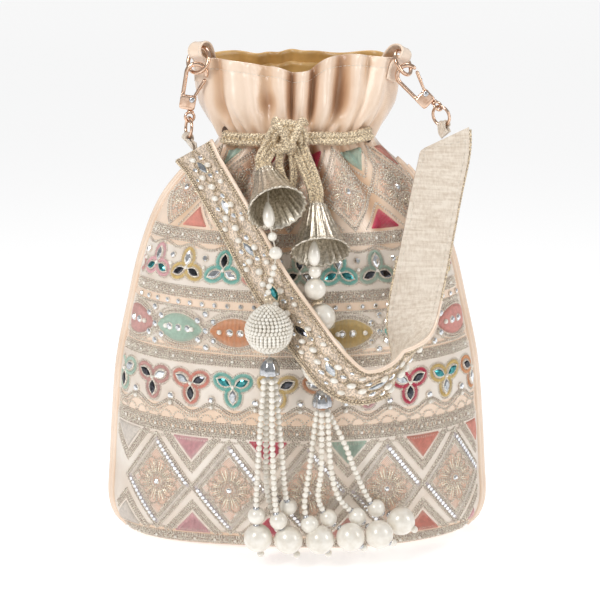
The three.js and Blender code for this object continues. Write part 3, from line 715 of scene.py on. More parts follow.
class Embroidery(Builder):
    def __init__(self, limit=None):
        super().__init__()
        self.limit = limit      # half width that may be sewn on, at a height

    def inside(self, centre):
        return self.limit is None or abs(centre[0]) <= self.limit(centre[1])

    def stitch(self, centre, direction, length, width, height, mark=0, base=-0.05):
        if not self.inside(centre):
            return
        d = unit(direction)
        n = vec(-d[1], d[0])
        c = vec(*centre)
        low = [*(c - d * length / 2), base]
        high = [*(c + d * length / 2), base]
        left = [*(c + n * width / 2), base + height * 0.35]
        right = [*(c - n * width / 2), base + height * 0.35]
        top = [*c, base + height]
        under = [*c, base - 0.1]
        faces = [[0, 3, 4], [3, 1, 4], [1, 2, 4], [2, 0, 4], [3, 0, 5], [1, 3, 5], [2, 1, 5], [0, 2, 5]]
        self.add([low, high, left, right, top, under], faces, mark)

    def chain(self, path, width=2.0, pitch=1.35, mark=0, height=None, slant=0.5):
        # a sewn metal chain: two rows of stitches that lean towards each other
        length = pathLength(path)
        count = max(int(length / pitch), 2)
        path = respace(path, count)
        along = tangents(path)
        across = np.stack([-along[:, 1], along[:, 0]], 1)
        height = height or width * 0.5
        for centre, d, n in zip(path, along, across):
            for side in (-1, 1):
                self.stitch(centre + n * side * width * 0.25, d + n * side * slant, pitch * 1.5,
                            width * 0.5, height, mark)

    def bars(self, starts, ends, height=0.7, width=0.75, mark=0, segment=3.2):
        # satin stitch: threads laid side by side from one edge to the other
        for a, b in zip(starts, ends):
            a, b = vec(*a), vec(*b)
            length = np.linalg.norm(b - a)
            if length < 0.5 or not self.inside((a + b) / 2):
                continue
            n = max(int(math.ceil(length / segment)), 2)
            d = (b - a) / length
            side = vec(-d[1], d[0]) * width / 2
            points, faces = [], []
            for i in range(n + 1):
                t = i / n
                c = a + (b - a) * t
                lift = height * (0.25 + 0.75 * math.sin(math.pi * min(max(t, 0.02), 0.98)) ** 0.45)
                points += [[*(c - side), -0.15], [*c, lift], [*(c + side), -0.15]]
            for i in range(n):
                k = 3 * i
                faces += [[k, k + 3, k + 4, k + 1], [k + 1, k + 4, k + 5, k + 2], [k + 2, k + 5, k + 3, k]]
            last = 3 * n
            faces += [[0, 1, 2], [last + 2, last + 1, last]]
            self.add(points, faces, mark)

    def satinPatch(self, polygon, angle, height=0.7, pitch=0.7, mark=0):
        # fills an outline with threads at an angle
        polygon = np.asarray(polygon, float)
        d, n = vec(math.cos(angle), math.sin(angle)), vec(-math.sin(angle), math.cos(angle))
        along, across = polygon @ d, polygon @ n
        starts, ends = [], []
        for level in np.arange(across.min() + pitch / 2, across.max(), pitch):
            cuts = []
            for i in range(len(polygon)):
                j = (i + 1) % len(polygon)
                if (across[i] - level) * (across[j] - level) < 0:
                    t = (level - across[i]) / (across[j] - across[i])
                    cuts.append(along[i] + (along[j] - along[i]) * t)
            cuts.sort()
            for low, high in zip(cuts[::2], cuts[1::2]):
                starts.append(d * low + n * level)
                ends.append(d * high + n * level)
        self.bars(starts, ends, height, pitch * 1.08, mark)

    def ribbon(self, path, width, height=0.5, pitch=0.8, mark=0):
        # a narrow band of threads laid across its path
        path = respace(path, max(int(pathLength(path) / pitch), 2))
        along = tangents(path)
        across = np.stack([-along[:, 1], along[:, 0]], 1) * width / 2
        self.bars(path - across, path + across, height, pitch * 1.08, mark, segment=2.5)

    def dome(self, centre, outline, stages, mark=0):
        # rings of one outline at changing scale and height, closed by a middle point
        if not self.inside(centre):
            return
        outline = np.asarray(outline, float)
        m = len(outline)
        points, faces = [], []
        for scale, height in stages:
            points += [[*(vec(*centre) + p * scale), height] for p in outline]
        for r in range(len(stages) - 1):
            faces += [[r * m + i, r * m + (i + 1) % m, (r + 1) * m + (i + 1) % m, (r + 1) * m + i]
                      for i in range(m)]
        points.append([*centre, stages[-1][1]])
        top = (len(stages) - 1) * m
        faces += [[top + i, top + (i + 1) % m, len(points) - 1] for i in range(m)]
        faces.append(list(range(m))[::-1])
        self.add(points, faces, mark)

    def ball(self, centre, radius, mark=0, sides=8, rings=5, sink=0.15):
        if not self.inside(centre):
            return
        turn = np.arange(sides) / sides * 2 * math.pi
        circle = np.stack([np.cos(turn), np.sin(turn)], 1) * radius
        stages = []
        for i in range(rings):
            t = -math.pi / 2 + math.pi * (i + 0.5) / rings
            stages.append((math.cos(t), radius * (1 - sink + math.sin(t))))
        self.dome(centre, circle, stages, mark)


def marquise(length, width, angle, count=12):
    points = []
    for i in range(count):
        t = i / count * 2 * math.pi
        x = math.cos(t)
        y = (math.sin(t) * (1 - abs(x) ** 1.7 * 0.25) * math.sqrt(max(1 - abs(x) ** 2.6, 0))
             if abs(x) < 1 else 0)
        points.append((x * length / 2, y * width / 2))
    turn = np.array([[math.cos(angle), math.sin(angle)], [-math.sin(angle), math.cos(angle)]])
    return np.array(points) @ turn


def circleAt(centre, radius, count=24, start=0.0, sweep=2 * math.pi):
    turn = start + np.linspace(0, 1, count) * sweep
    return np.stack([centre[0] + radius * np.cos(turn), centre[1] + radius * np.sin(turn)], 1)


def setMirror(metal, glass, centre, length, width, angle, mark):
    # a marquise mirror in a rim of metal thread
    shape = marquise(length, width, angle)
    metal.dome(centre, shape, [(1.32, -0.1), (1.28, 0.7), (1.08, 1.0), (0.98, 0.6)])
    glass.dome(centre, shape, [(1.0, 0.2), (0.96, 0.95), (0.6, 1.35)], mark)


def setCrystal(metal, glass, centre, radius, mark=0):
    # a small faceted stone in a claw cup
    cup = circleAt((0, 0), 1.0, 9)[:-1]
    metal.dome(centre, cup * radius, [(1.25, -0.1), (1.2, 0.5 * radius), (1.0, 0.62 * radius)])
    glass.dome(centre, cup * radius, [(0.98, 0.3 * radius), (0.98, 0.75 * radius), (0.55, 1.15 * radius)],
               mark)


def makeClothMap():
    # where a point of the flat cloth lies on the front: distance across and height
    levels = np.arange(0, 226, 1.0)
    end = math.pi / 2 - 0.01
    angles = np.linspace(-end, end, 321)
    surface = shellSurface(1, levels, angles)
    plain = shellSurface(1, levels, angles, relief=0.0)
    step = np.linalg.norm(np.diff(plain, axis=1), axis=2)
    across = np.concatenate([np.zeros((len(levels), 1)), np.cumsum(step, axis=1)], axis=1)
    across -= across[:, 160:161]
    gatherFrom = 150
    for r in range(gatherFrom, len(levels)):
        across[r] *= across[gatherFrom, -1] / across[r, -1]
    normal = unit(np.cross(np.gradient(surface, axis=1), np.gradient(surface, axis=0)))
    spread = np.arange(-130, 131, 1.0)
    places = np.array([np.interp(spread, row, np.arange(321.0)) for row in across])

    def blend(table, r, c):
        r0 = np.clip(r.astype(int), 0, table.shape[0] - 2)
        c0 = np.clip(c.astype(int), 0, table.shape[1] - 2)
        fr, fc = r - r0, c - c0
        if table.ndim == 3:
            fr, fc = fr[:, None], fc[:, None]
        return (table[r0, c0] * (1 - fr) * (1 - fc) + table[r0 + 1, c0] * fr * (1 - fc)
                + table[r0, c0 + 1] * (1 - fr) * fc + table[r0 + 1, c0 + 1] * fr * fc)

    def lay(points):
        z = np.clip(points[:, 1], 0, 224.9)
        column = blend(places, z, np.clip(points[:, 0], -129.9, 129.9) + 130)
        out = blend(surface, z, column)
        return out + unit(blend(normal, z, column)) * points[:, 2:3]

    def halfWidth(z):
        return across[int(np.clip(z, 0, 225)), -1]

    def acrossAt(x, z):
        # cloth distance of a place given by its distance from the middle plane
        row = int(z)
        width = float(outlineAt(z)[0])
        return float(np.interp(math.asin(np.clip(x / width, -0.99, 0.99)), angles, across[row]))

    return lay, halfWidth, acrossAt


layOnFront, halfWidth, acrossAt = makeClothMap()


def sewnLimit(z):
    return halfWidth(z) - 8.5


embroidery = {
    "latticeCentres": (-78, -36, 6, 48, 90),
    "latticeMiddle": 38.0,
    "latticeHalf": (21.0, 28.0),
    "topTriangles": ((-99, "cream"), (-57, "pink"), (-15, "crimson"), (27, "mint"), (69, "coral"),
                     (110, "coral")),
    "lowTriangles": ((-99, "cream"), (-57, "pink"), (-15, "crimson"), (27, "salmon"), (69, "coral"),
                     (110, "pink")),
    "lowerTrefoils": ("mint", "rose", "coral", "teal", "yellow", "orange", "pink", "crimson", "yellow",
                      "orange"),
    "lowerPitch": 23.5,
    "lowerFirst": -104,
    "upperTrefoils": ("rose", "pink", "yellow", "teal", "coral", "mint", "teal", "mint", "orange", "yellow",
                      "rose"),
    "upperPitch": 20.5,
    "upperFirst": -101,
    "lenses": ((-95, "rose"), (-64, "mint"), (-32, "orange"), (0, "mint"), (26, "yellow"), (60, "teal"),
               (93, "salmon")),
    "lensRow": 125.0,
    "lensSize": (31.0, 17.5),
}
colourNames = list(threadColours)
metalWork = Embroidery(sewnLimit)
threadWork = Embroidery(sewnLimit)
paleWork = Embroidery(sewnLimit)
stones = Embroidery(sewnLimit)
seedWork = Embroidery(sewnLimit)


def rowAt(z, wave=0.0, pitch=6.0, phase=0.0):
    u = np.arange(-125, 125.1, 0.5)
    return np.stack([u, z + wave * np.sin(u / pitch * 2 * math.pi + phase)], 1)


def borderRow(low, high, loops=True):
    middle = (low + high) / 2
    metalWork.chain(rowAt(low + 0.7), 1.8)
    metalWork.chain(rowAt(high - 0.7), 1.8)
    if loops:
        reach = (high - low) / 2 - 1.5
        metalWork.chain(rowAt(middle, reach, 5.6), 1.7, 1.2, height=1.2)
        metalWork.chain(rowAt(middle, -reach, 5.6), 1.7, 1.2, height=1.2)
    for u in np.arange(-123, 123, 11.2):
        seedWork.ball((u, middle), 0.9)


def flower(centre, reach, petals=12):
    # petals of metal thread that fill a diamond, on a ground of peach thread
    cu, cz = centre
    halfU, halfZ = reach
    threadWork.satinPatch([(cu, cz - halfZ), (cu + halfU, cz), (cu, cz + halfZ), (cu - halfU, cz)], 0.8,
                          0.35, 0.9,
                          colourNames.index("peach"))
    for k in range(petals):
        angle = (k + 0.5) / petals * 2 * math.pi
        d = vec(math.cos(angle), math.sin(angle))
        n = vec(-d[1], d[0])
        high = 0.97 / (abs(d[0]) / halfU + abs(d[1]) / halfZ)
        low = min(reach) * 0.24
        half = high * math.sin(math.pi / petals) * 0.98
        outline = []
        for i in range(17):
            t = i / 16 * 2 * math.pi
            r = low + (high - low) * (0.5 - 0.5 * math.cos(t))
            spread = half * math.sin(t) * (0.35 + 0.65 * (r - low) / (high - low))
            outline.append(vec(cu, cz) + d * r + n * spread)
        metalWork.chain(outline, 1.2, 1.25, height=1.1)
        for offset in (-0.3, 0.3):
            base = vec(cu, cz) + n * half * offset * 0.35
            tip = vec(cu, cz) + n * half * offset
            paleWork.bars([base + d * (low + 1.0)], [tip + d * high * 0.82], 0.8, half * 0.42)
    metalWork.chain(circleAt(centre, min(reach) * 0.2), 1.4, 1.2)
    setCrystal(metalWork, stones, centre, min(reach) * 0.10)


def lattice():
    halfU, halfZ = embroidery["latticeHalf"]
    middle = embroidery["latticeMiddle"]
    for centre in embroidery["latticeCentres"]:
        for scale, width in ((1.0, 2.4), (0.78, 2.0)):
            corners = [(centre, middle - halfZ * scale), (centre + halfU * scale, middle),
                       (centre, middle + halfZ * scale), (centre - halfU * scale, middle)]
            for a, b in zip(corners, corners[1:] + corners[:1]):
                metalWork.chain([a, b], width)
        corners = [(centre, middle - halfZ * 0.9), (centre + halfU * 0.9, middle),
                   (centre, middle + halfZ * 0.9), (centre - halfU * 0.9, middle)]
        for k, (a, b) in enumerate(zip(corners, corners[1:] + corners[:1])):
            name = "lilac" if k % 2 else "cream"
            threadWork.ribbon([a, b], 2.6, mark=colourNames.index(name))
            if k % 2:
                for i in range(1, 13):      # sequins
                    stones.dome(vec(*a) + (vec(*b) - vec(*a)) * i / 13, circleAt((0, 0), 1.05, 9)[:-1],
                                [(1.0, 0.45), (1.0, 0.75), (0.35, 0.65)], 0)
        flower((centre, middle), (halfU * 0.70, halfZ * 0.70))
    for edge, direction, triangles in ((68, -1, embroidery["topTriangles"]),
                                       (8, 1, embroidery["lowTriangles"])):
        for centre, name in triangles:
            for depth, work in ((13.5, "patch"), (17.0, "outline"), (20.5, "outline")):
                half = depth * halfU / halfZ * 1.02
                tip = (centre, edge + direction * (depth + 0.5))
                left, right = (centre - half, edge + direction * 1.0), (centre + half, edge + direction * 1.0)
                if work == "patch":
                    threadWork.satinPatch([left, tip, right], 0.5 * math.pi, 0.9,
                                          mark=colourNames.index(name))
                else:
                    metalWork.chain([left, tip, right], 2.0)
    u = np.arange(-120, 120, 1.0)
    for z in (10.5, 65.5):
        metalWork.chain(np.stack([u, np.full_like(u, z)], 1), 1.2)


def trefoil(centre, size, up, name, glass):
    # three lobes round one middle, each a mirror in a metal rim and a coloured edge
    facing = math.pi / 2 if up else -math.pi / 2
    for k, tilt in enumerate((-2.0, 0.0, 2.0)):
        angle = facing + tilt
        place = vec(*centre) + vec(math.cos(angle), math.sin(angle)) * size * 0.255
        lobe = circleAt((0, 0), 1.0, 29) * (size * 0.25, size * 0.185)
        turn = np.array([[math.cos(angle), math.sin(angle)], [-math.sin(angle), math.cos(angle)]])
        lobe = lobe @ turn
        threadWork.ribbon(lobe + place, 1.9, 0.8, 0.6, mark=colourNames.index(name))
        metalWork.chain(lobe * 1.34 + place, 1.1, 1.1)
        metalWork.chain(lobe * 0.72 + place, 0.9, 1.0)
        setMirror(metalWork, stones, place, size * 0.36, size * 0.19, angle, glass[k])
    seedWork.ball(centre, 1.1)


def lens(centre, size, name, gems):
    cu, cz = centre
    length, width = size
    t = np.linspace(0, 2 * math.pi, 41)
    shape = np.stack([np.cos(t), np.sin(t) * (1 - 0.32 * np.abs(np.cos(t)) ** 2)], 1)
    outline = shape * (length / 2, width / 2) + (cu, cz)
    threadWork.satinPatch((shape * (length * 0.44, width * 0.42) + (cu, cz))[:-1], math.pi / 2, 0.9,
                          mark=colourNames.index(name))
    metalWork.chain(outline, 2.2)
    metalWork.chain(shape * (length * 0.58, width * 0.62) + (cu, cz), 1.2)
    for k in range(gems):
        setCrystal(metalWork, stones, (cu + (k - (gems - 1) / 2) * 5.6, cz), 1.7)


def gemCross(centre, reach=6.2):
    cu, cz = centre
    for du, dz in ((0, 0), (-1, 1), (1, 1), (-1, -1), (1, -1), (0, 1.75), (0, -1.75)):
        setCrystal(metalWork, stones, (cu + du * reach * 0.72, cz + dz * reach * 0.8), 1.55)
    for du in (-1, 1):
        seedWork.ball((cu + du * reach * 1.25, cz), 1.4)


lattice()
borderRow(1.6, 8)
borderRow(68, 76)
for u in np.arange(-120, 121, 8.0):
    metalWork.chain(circleAt((u, 76.6), 3.4, 11, 0, math.pi), 1.2, 1.2)
mirrorSets = ((0, 1, 2), (1, 1, 0), (2, 1, 1), (3, 2, 3), (1, 0, 1))
for k, name in enumerate(embroidery["lowerTrefoils"]):
    place = embroidery["lowerFirst"] + k * embroidery["lowerPitch"]
    trefoil((place, 96.5), 21.0, False, name, mirrorSets[k % 5])
    setCrystal(metalWork, stones, (place - 11.7, 88.5), 1.7)
    seedWork.ball((place - 11.7, 84.6), 1.2)
for lift, width in ((0.0, 2.2), (-2.6, 1.3)):
    metalWork.chain(rowAt(83.6 + lift, 2.6, embroidery["lowerPitch"], 1.0), width)
borderRow(107, 113)
for k, (place, name) in enumerate(embroidery["lenses"]):
    lens((place, embroidery["lensRow"]), embroidery["lensSize"], name, 3 if k in (1, 3) else 2)
for a, b in zip(embroidery["lenses"], embroidery["lenses"][1:]):
    gemCross(((a[0] + b[0]) / 2, embroidery["lensRow"]))
metalWork.chain(rowAt(114.6), 1.2)
metalWork.chain(rowAt(136.0), 1.6)
for u in np.arange(-120, 121, 7.0):
    setCrystal(metalWork, stones, (u, 138.6), 1.15)
borderRow(141, 147)
for k, name in enumerate(embroidery["upperTrefoils"]):
    place = embroidery["upperFirst"] + k * embroidery["upperPitch"]
    trefoil((place, 156.5), 19.0, True, name, mirrorSets[(k + 2) % 5])
    setCrystal(metalWork, stones, (place + embroidery["upperPitch"] / 2, 162.0), 1.5)
    seedWork.ball((place + embroidery["upperPitch"] / 2, 157.5), 1.1)
metalWork.chain(rowAt(167.4, 1.2, embroidery["upperPitch"], 0.6), 1.6)
borderRow(169.5, 176)


def upperLattice():
    # the upper diamonds, cut off by the gathers under the neck
    halfU, halfZ = 19.0, 19.5
    middle = 197.0
    centres = [acrossAt(27, 190) + k * 2 * halfU for k in (-3, -2, -1, 0, 1, 2)]
    for centre in centres:
        for scale, width in ((1.0, 2.0), (0.84, 1.2)):
            corners = [(centre, middle - halfZ * scale), (centre + halfU * scale, middle),
                       (centre, middle + halfZ * scale), (centre - halfU * scale, middle)]
            for a, b in zip(corners, corners[1:] + corners[:1]):
                metalWork.chain([a, b], width)
        flower((centre, middle - 1), (halfU * 0.80, halfZ * 0.80))
    fills = ("coral", "pink", "mint", "crimson", "crimson", "mint")
    for k, centre in enumerate(centres):
        low = [(centre + halfU - 9, 177.5), (centre + halfU, 187.5), (centre + halfU + 9, 177.5)]
        top = [(centre + halfU - 9, 216), (centre + halfU, 206), (centre + halfU + 9, 216)]
        threadWork.satinPatch(low, math.pi / 2, 0.9, mark=colourNames.index(fills[k]))
        threadWork.satinPatch(top, math.pi / 2, 0.9, mark=colourNames.index(fills[(k + 2) % 6]))
        metalWork.chain([(centre + halfU - 12, 177.5), (centre + halfU, 190.5),
                         (centre + halfU + 12, 177.5)], 1.4)
        metalWork.chain([(centre + halfU - 12, 216), (centre + halfU, 203), (centre + halfU + 12, 216)], 1.4)


upperLattice()


def layWork(work, name, materials, slot, lay, smoothShade=True, body="bag"):
    work.points = [lay(np.concatenate(work.points))]
    return work.make(name, materials, body, slot, smoothShade)


stoneMaterials = [crystal, darkMirror, greyMirror, tealMirror]
layWork(metalWork, "frontMetalThread", [zari], "strap_embroidery", layOnFront)
layWork(paleWork, "frontPetals", [paleZari], "strap_embroidery", layOnFront)
layWork(threadWork, "frontSatinStitch", [threads[name] for name in colourNames], "embroidered_front",
        layOnFront)
layWork(stones, "frontStones", stoneMaterials, "polished_steel", layOnFront, smoothShade=False)
layWork(seedWork, "frontSeedPearls", [pearl], "pearl", layOnFront)
print("front embroidery ready")


# piping in the side seams

def makePiping(side, name, node):
    levels = np.linspace(5.5, pouch["pipingTop"], 60)
    width = outlineAt(levels)[0]
    cord = Builder()
    cord.tube(np.stack([side * (width + 0.9), np.full_like(width, 0.0), levels], 1),
              pouch["pipingRadius"] * 0.98, 14)
    for ahead in (1, -1):
        levels = np.linspace(4.0, pouch["pipingTop"] + 4, 60)
        turn = side * (math.pi / 2 - 0.105)
        line = pouchPoint(levels, turn, -0.35)
        line[:, 1] *= ahead
        cord.tube(line, 1.35, 10)
    piece = cord.make(name, [satin], "bag", "satin")
    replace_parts(piece, node)


makePiping(-1, "satinPipingLeft", "piping_left")
makePiping(1, "satinPipingRight", "piping_right")
for node in ("base_panel",):
    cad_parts[node].data.materials.clear()
    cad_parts[node].data.materials.append(satin)


# the strap

strap = {
    "width": 25.0,
    "faceThickness": 1.0,
    "backThickness": 0.85,
    "halfGap": 0.225,
    # middle of the strap, and the direction across it
    "stations": [
        ((-52.8, -21.8, 215.6), (0.75, -0.45, 0.48)), ((-48, -28.5, 209.5), (0.7, -0.6, 0.4)),
        ((-43, -35, 202.5), (0.7, -0.6, 0.4)), ((-29.5, -48, 182), (0.7, -0.6, 0.4)),
        ((-15, -57, 157), (0.72, -0.55, 0.42)), ((-1.5, -62, 137.5), (0.75, -0.5, 0.42)),
        ((13.5, -77.5, 120), (0.8, -0.45, 0.4)), ((24, -82, 110.5), (0.84, -0.3, 0.45)),
        ((36.5, -82, 108), (0.6, -0.12, 0.79)), ((48.5, -77, 112.5), (0.3, -0.1, 0.95)),
        ((56.5, -68, 122.5), (0.6, -0.55, 0.58)), ((58.5, -58, 137), (0.96, -0.25, 0.08)),
        ((65, -46, 168.5), (0.97, 0, -0.24)), ((71.5, -32, 197), (0.97, 0, -0.24)),
        ((75.3, -23.5, 211.5), (0.97, 0, -0.24)), ((77.4, -18.8, 221.8), (0.9, 0, 0.43)),
    ],
    "pearlRadius": 1.75,
    "motifPitch": 25.0,
}


def strapMap():
    stations = strap["stations"]
    spans = len(stations) - 1
    at = centripetal([place for place, _ in stations])
    count = spans * 24
    path = np.array([at(i / count) for i in range(count + 1)])
    share = np.linspace(0, spans, count + 1)
    k = np.minimum(share.astype(int), spans - 1)
    raw = np.array([across for _, across in stations], float)
    side = unit(raw[k] + (raw[k + 1] - raw[k]) * (share - k)[:, None])
    along = tangents(path)
    normal = unit(np.cross(along, side))
    distance = np.concatenate([[0], np.cumsum(np.linalg.norm(np.diff(path, axis=0), axis=1))])

    def lay(points):
        points = np.asarray(points, float)
        t = points[:, 0]
        pick = [np.stack([np.interp(t, distance, table[:, i]) for i in range(3)], 1)
                for table in (path, side, normal)]
        return pick[0] + pick[1] * points[:, 1:2] + unit(pick[2]) * points[:, 2:3]

    return lay, float(distance[-1])


layOnStrap, strapLength = strapMap()


def strapLayer(name, material, low, high, node, slot, ripple):
    along = np.linspace(0, strapLength, 200)
    half = strap["width"] / 2
    across = np.linspace(-half, half, 9)
    rows = []
    for t in along:
        wave = ripple * math.sin(t * 0.21) * math.sin(t * 0.047 + 1)
        top = [(t, w, high + wave * (1 - (w / half) ** 2) * 0.5) for w in across]
        under = [(t, w, low) for w in across[::-1]]
        rows.append(top + under)
    rows = np.array(rows)
    layer = Builder()
    shape = layOnStrap(rows.reshape(-1, 3)).reshape(rows.shape)
    layer.grid(shape, closedAround=True)
    m, last = rows.shape[1], (len(along) - 1) * rows.shape[1]
    layer.faces += [[i for i in range(m)][::-1], [last + i for i in range(m)]]
    layer.marks += [0, 0]
    piece = layer.make(name, [material], "bag", slot, smoothShade=False)
    turnOutwards(piece)
    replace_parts(piece, node)
    return piece


strapGround = threadMaterial("strapGround", (0.76, 0.62, 0.49), 0.25, 0.4, vary=0.4, scale=1000.0)
faceLow, backLow = strap["halfGap"], -strap["halfGap"] - strap["backThickness"]
faceTop = faceLow + strap["faceThickness"]
strapLayer("strapFaceCloth", strapGround, faceLow, faceTop, "strap_face", "strap_embroidery", 0.0)
strapLayer("strapSilkBack", silk, -strap["halfGap"], backLow, "strap_backing", "raw_silk", -0.5)


def makeStrapTrim():
    metal, glass, seed, backMetal = Embroidery(), Embroidery(), Embroidery(), Embroidery()
    half = strap["width"] / 2

    def line(w, wave=0.0, pitch=6.0, low=0.0, high=strapLength):
        t = np.arange(low + 0.5, high - 0.5, 0.5)
        return np.stack([t, w + wave * np.sin(t / pitch * 2 * math.pi)], 1)

    for sideSign in (-1, 1):
        metal.chain(line(sideSign * (half - 1.3)), 2.4)
        metal.chain(line(sideSign * (half - 3.6), 0.8, 5.0), 1.2, 1.2)
    metal.chain(line(0, 4.6, strap["motifPitch"] * 2), 1.5)
    metal.chain(line(0, -4.6, strap["motifPitch"] * 2), 1.5)
    rng = random.Random(7)
    glassKinds = (2, 0, 2, 3, 1, 2)
    for k in range(int(strapLength / strap["motifPitch"])):
        t = (k + 0.5) * strap["motifPitch"]
        setMirror(metal, glass, (t, 0), 9.0, 4.4, 0.25 * (-1) ** k, glassKinds[k % 6])
        for turn in range(6):
            angle = turn / 6 * 2 * math.pi + 0.5
            place = (t + 6.9 * math.cos(angle), 5.0 * math.sin(angle))
            if turn % 2:
                seed.ball(place, strap["pearlRadius"], sides=12, rings=7)
            else:
                setCrystal(metal, glass, place, 1.5)
        for w in (-7.4, 7.4):
            seed.ball((t + rng.uniform(-2, 2) + 11, w * 0.95), 1.5, sides=12, rings=7)
            setCrystal(metal, glass, (t + rng.uniform(-1, 1) + 6.5, w), 1.1)
        seed.ball((t + strap["motifPitch"] / 2, 0.0), strap["pearlRadius"] * 1.1, sides=12, rings=7)
        metal.chain(circleAt((t + strap["motifPitch"] / 2, 0), 3.0, 15), 1.1, 1.1)
    for work in (metal, glass, seed):
        work.points = [np.concatenate(work.points) + (0, 0, faceTop)]
    for sideSign in (-1, 1):
        for t in np.arange(3, strapLength - 3, 3.3):
            backMetal.stitch((t, sideSign * (half - 2.2)), (1, 0.05), 2.3, 0.5, 0.28)
    for w in np.arange(-half + 2.5, half - 2, 3.3):
        backMetal.stitch((strapLength - 4, w), (0.05, 1), 2.3, 0.5, 0.28)
    backMetal.points = [np.concatenate(backMetal.points) * (1, 1, -1) + (0, 0, backLow - 0.05)]
    layWork(metal, "strapMetalThread", [goldLace], "strap_embroidery", layOnStrap)
    layWork(glass, "strapStones", stoneMaterials, "polished_steel", layOnStrap, smoothShade=False)
    layWork(seed, "strapPearls", [pearl], "pearl", layOnStrap)
    layWork(backMetal, "strapBackStitches", [threadWhite], "raw_silk", layOnStrap)
    t = np.arange(0, strapLength, 1.5)
    t = t[t < 225]
    lace = Builder()
    for sideSign, low, high in ((-1, 0.0, 236.0), (1, 215.0, strapLength)):
        u = np.arange(low + 0.5, high - 0.5, 0.45)
        for k, phase in enumerate((0.0, 2.1, 4.2)):
            w = sideSign * (half + 0.25 + 0.55 * np.sin(u * 1.5 + phase))
            lift = 0.25 + 0.55 * np.sin(u * 3.0 + phase * 2)
            lace.tube(layOnStrap(np.stack([u, w, lift], 1)), 0.5, 6)
    lace.make("strapEdgeLace", [goldLace], "bag", "strap_embroidery")
    binding = Builder()
    rows = np.stack([t, np.full_like(t, half + 0.2), np.full_like(t, faceTop * 0.6)], 1)
    binding.tube(layOnStrap(rows), 1.0, 10)
    binding.make("strapSatinBinding", [satin], "bag", "satin")


makeStrapTrim()
print("strap ready")


# the braided drawstring

cordLook = {
    "radius": 3.4,
    "tailRadius": 2.25,
    "plaitLength": 10.5,
    "slitTurn": 1.10,
    "knot": (-4.0, -32.5, 226.0),
    "knotTurns": (
        ((-9, -3, -3.5), (-7.5, -5.4, 1.5), (-3, -6.4, 4.6), (2, -6.2, 4.8), (6.2, -5.4, 1.5),
         (7.4, -3.4, -4)),
        ((-6.2, 2, 4), (-5.4, -2, 6.6), (-3.4, -7.4, 4), (-0.2, -9.2, -1.5), (1, -7, -6.6),
         (1.4, -1.6, -8.2)),
        ((7, 1, 4.5), (5.6, -4.2, 6.2), (3.2, -8.0, 1.8), (-0.4, -8.6, -4.5), (-4.8, -6.4, -6.6),
         (-8, -2.5, -6)),
    ),
    "crownLeft": (-15.8, -44.5, 208.5),
    "axisLeft": (0.228, -0.806, -0.546),
    "crownRight": (9.8, -46.5, 191.5),
    "axisRight": (0.07, -0.657, -0.753),
}


def braid(builder, path, radius, plait, strands=5, sides=8):
    # a flat plait: each strand weaves from edge to edge, and over and under
    length = pathLength(path)
    path = respace(path, max(int(length / 0.55), 12))
    _, side, up = carriedFrames(path, (0, -1, 0))
    distance = np.linspace(0, length, len(path))
    for k in range(strands):
        phase = distance / plait * 2 * math.pi + k * 2 * math.pi / strands
        offset = (side * (radius * 0.72 * np.sin(phase))[:, None]
                  + up * (radius * 0.36 * np.sin(2 * phase))[:, None])
        swell = radius * 0.33 * (1 + 0.12 * np.sin(distance * 7.0 + k))
        builder.tube(path + offset, swell, sides)


def makeDrawstring():
    cord = Builder()
    look = cordLook
    turns = np.linspace(-look["slitTurn"], look["slitTurn"], 70)
    inset = 7.4 * smooth(np.abs(turns), look["slitTurn"] - 0.2, look["slitTurn"]) - (look["radius"] + 1.9)
    neckLine = pouchPoint(np.full(70, 223.0), turns, inset)
    neckLine[:, 2] += 1.2 * np.sin(turns * 2.1) - 1.5 * bump(turns, 0.55, 0.25)
    braid(cord, neckLine, look["radius"], look["plaitLength"])
    knot = vec(*look["knot"])
    for route in look["knotTurns"]:
        braid(cord, sampleCurve([knot + step for step in route], 50), 3.2, 9.0)
    for crown, axis, top in (("crownLeft", "axisLeft", (-10.5, -34, 223.5)),
                             ("crownRight", "axisRight", (-0.5, -35, 223.5))):
        foot = vec(*look[crown]) - unit(look[axis]) * 0.4
        above = foot - unit(look[axis]) * 4.5
        line = sampleCurve([top, above + (0, 0.0, 3.0), above, foot], 40)
        frames = carriedFrames(line, (0, -1, 0))
        for offset in (-1, 1):
            spread = 2.15 * (1 - 0.35 * np.linspace(0, 1, 40) ** 4)
            braid(cord, line + frames[1] * (offset * spread)[:, None], look["tailRadius"], 7.0)
    spare = sampleCurve([(-6, -36.5, 224), (-9, -38.5, 213), (-6.5, -39.8, 203.5), (-3.0, -39, 200.5),
                         (-1.5, -38.3, 206),
                         (-2.5, -37, 216)], 50)
    braid(cord, spare, 2.1, 7.0)
    piece = cord.make("braidedDrawstring", [cordBraid], "bag", "braided_cord")
    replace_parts(piece, "drawstring")
    # dark domes at both slits of the cord: painted shade of the openings, set just proud of the cloth in a
    # near-black thread colour
    slitShadePatches = Builder()
    turn = np.arange(24) / 24 * 2 * math.pi
    for side in (-1, 1):
        angle = side * (look["slitTurn"] - 0.02)
        centre = pouchPoint(223.0, angle, -0.7)
        width, depth, _ = outlineAt(223.0)
        outward = unit(vec(centre[0] / width ** 2, centre[1] / depth ** 2, 0))
        along = vec(-outward[1], outward[0], 0)
        rows = []
        for t in np.linspace(-1.45, 1.45, 9):
            ring = np.cos(turn)[:, None] * along * 3.0 + np.sin(turn)[:, None] * vec(0, 0, 1) * 4.6
            rows.append(centre + ring * math.cos(t) + outward * (0.9 * math.sin(t)))
        slitShadePatches.grid(rows, closedAround=True)
        last = slitShadePatches.count - 24
        slitShadePatches.faces += [[last - 8 * 24 + i for i in range(24)][::-1], [last + i for i in range(24)]]
        slitShadePatches.marks += [0, 0]
    slitShadePatches.make("cordSlitShade", [slitShade], "bag", "satin")


makeDrawstring()
print("drawstring ready")


# turned pieces: bells, pearls, beads and caps

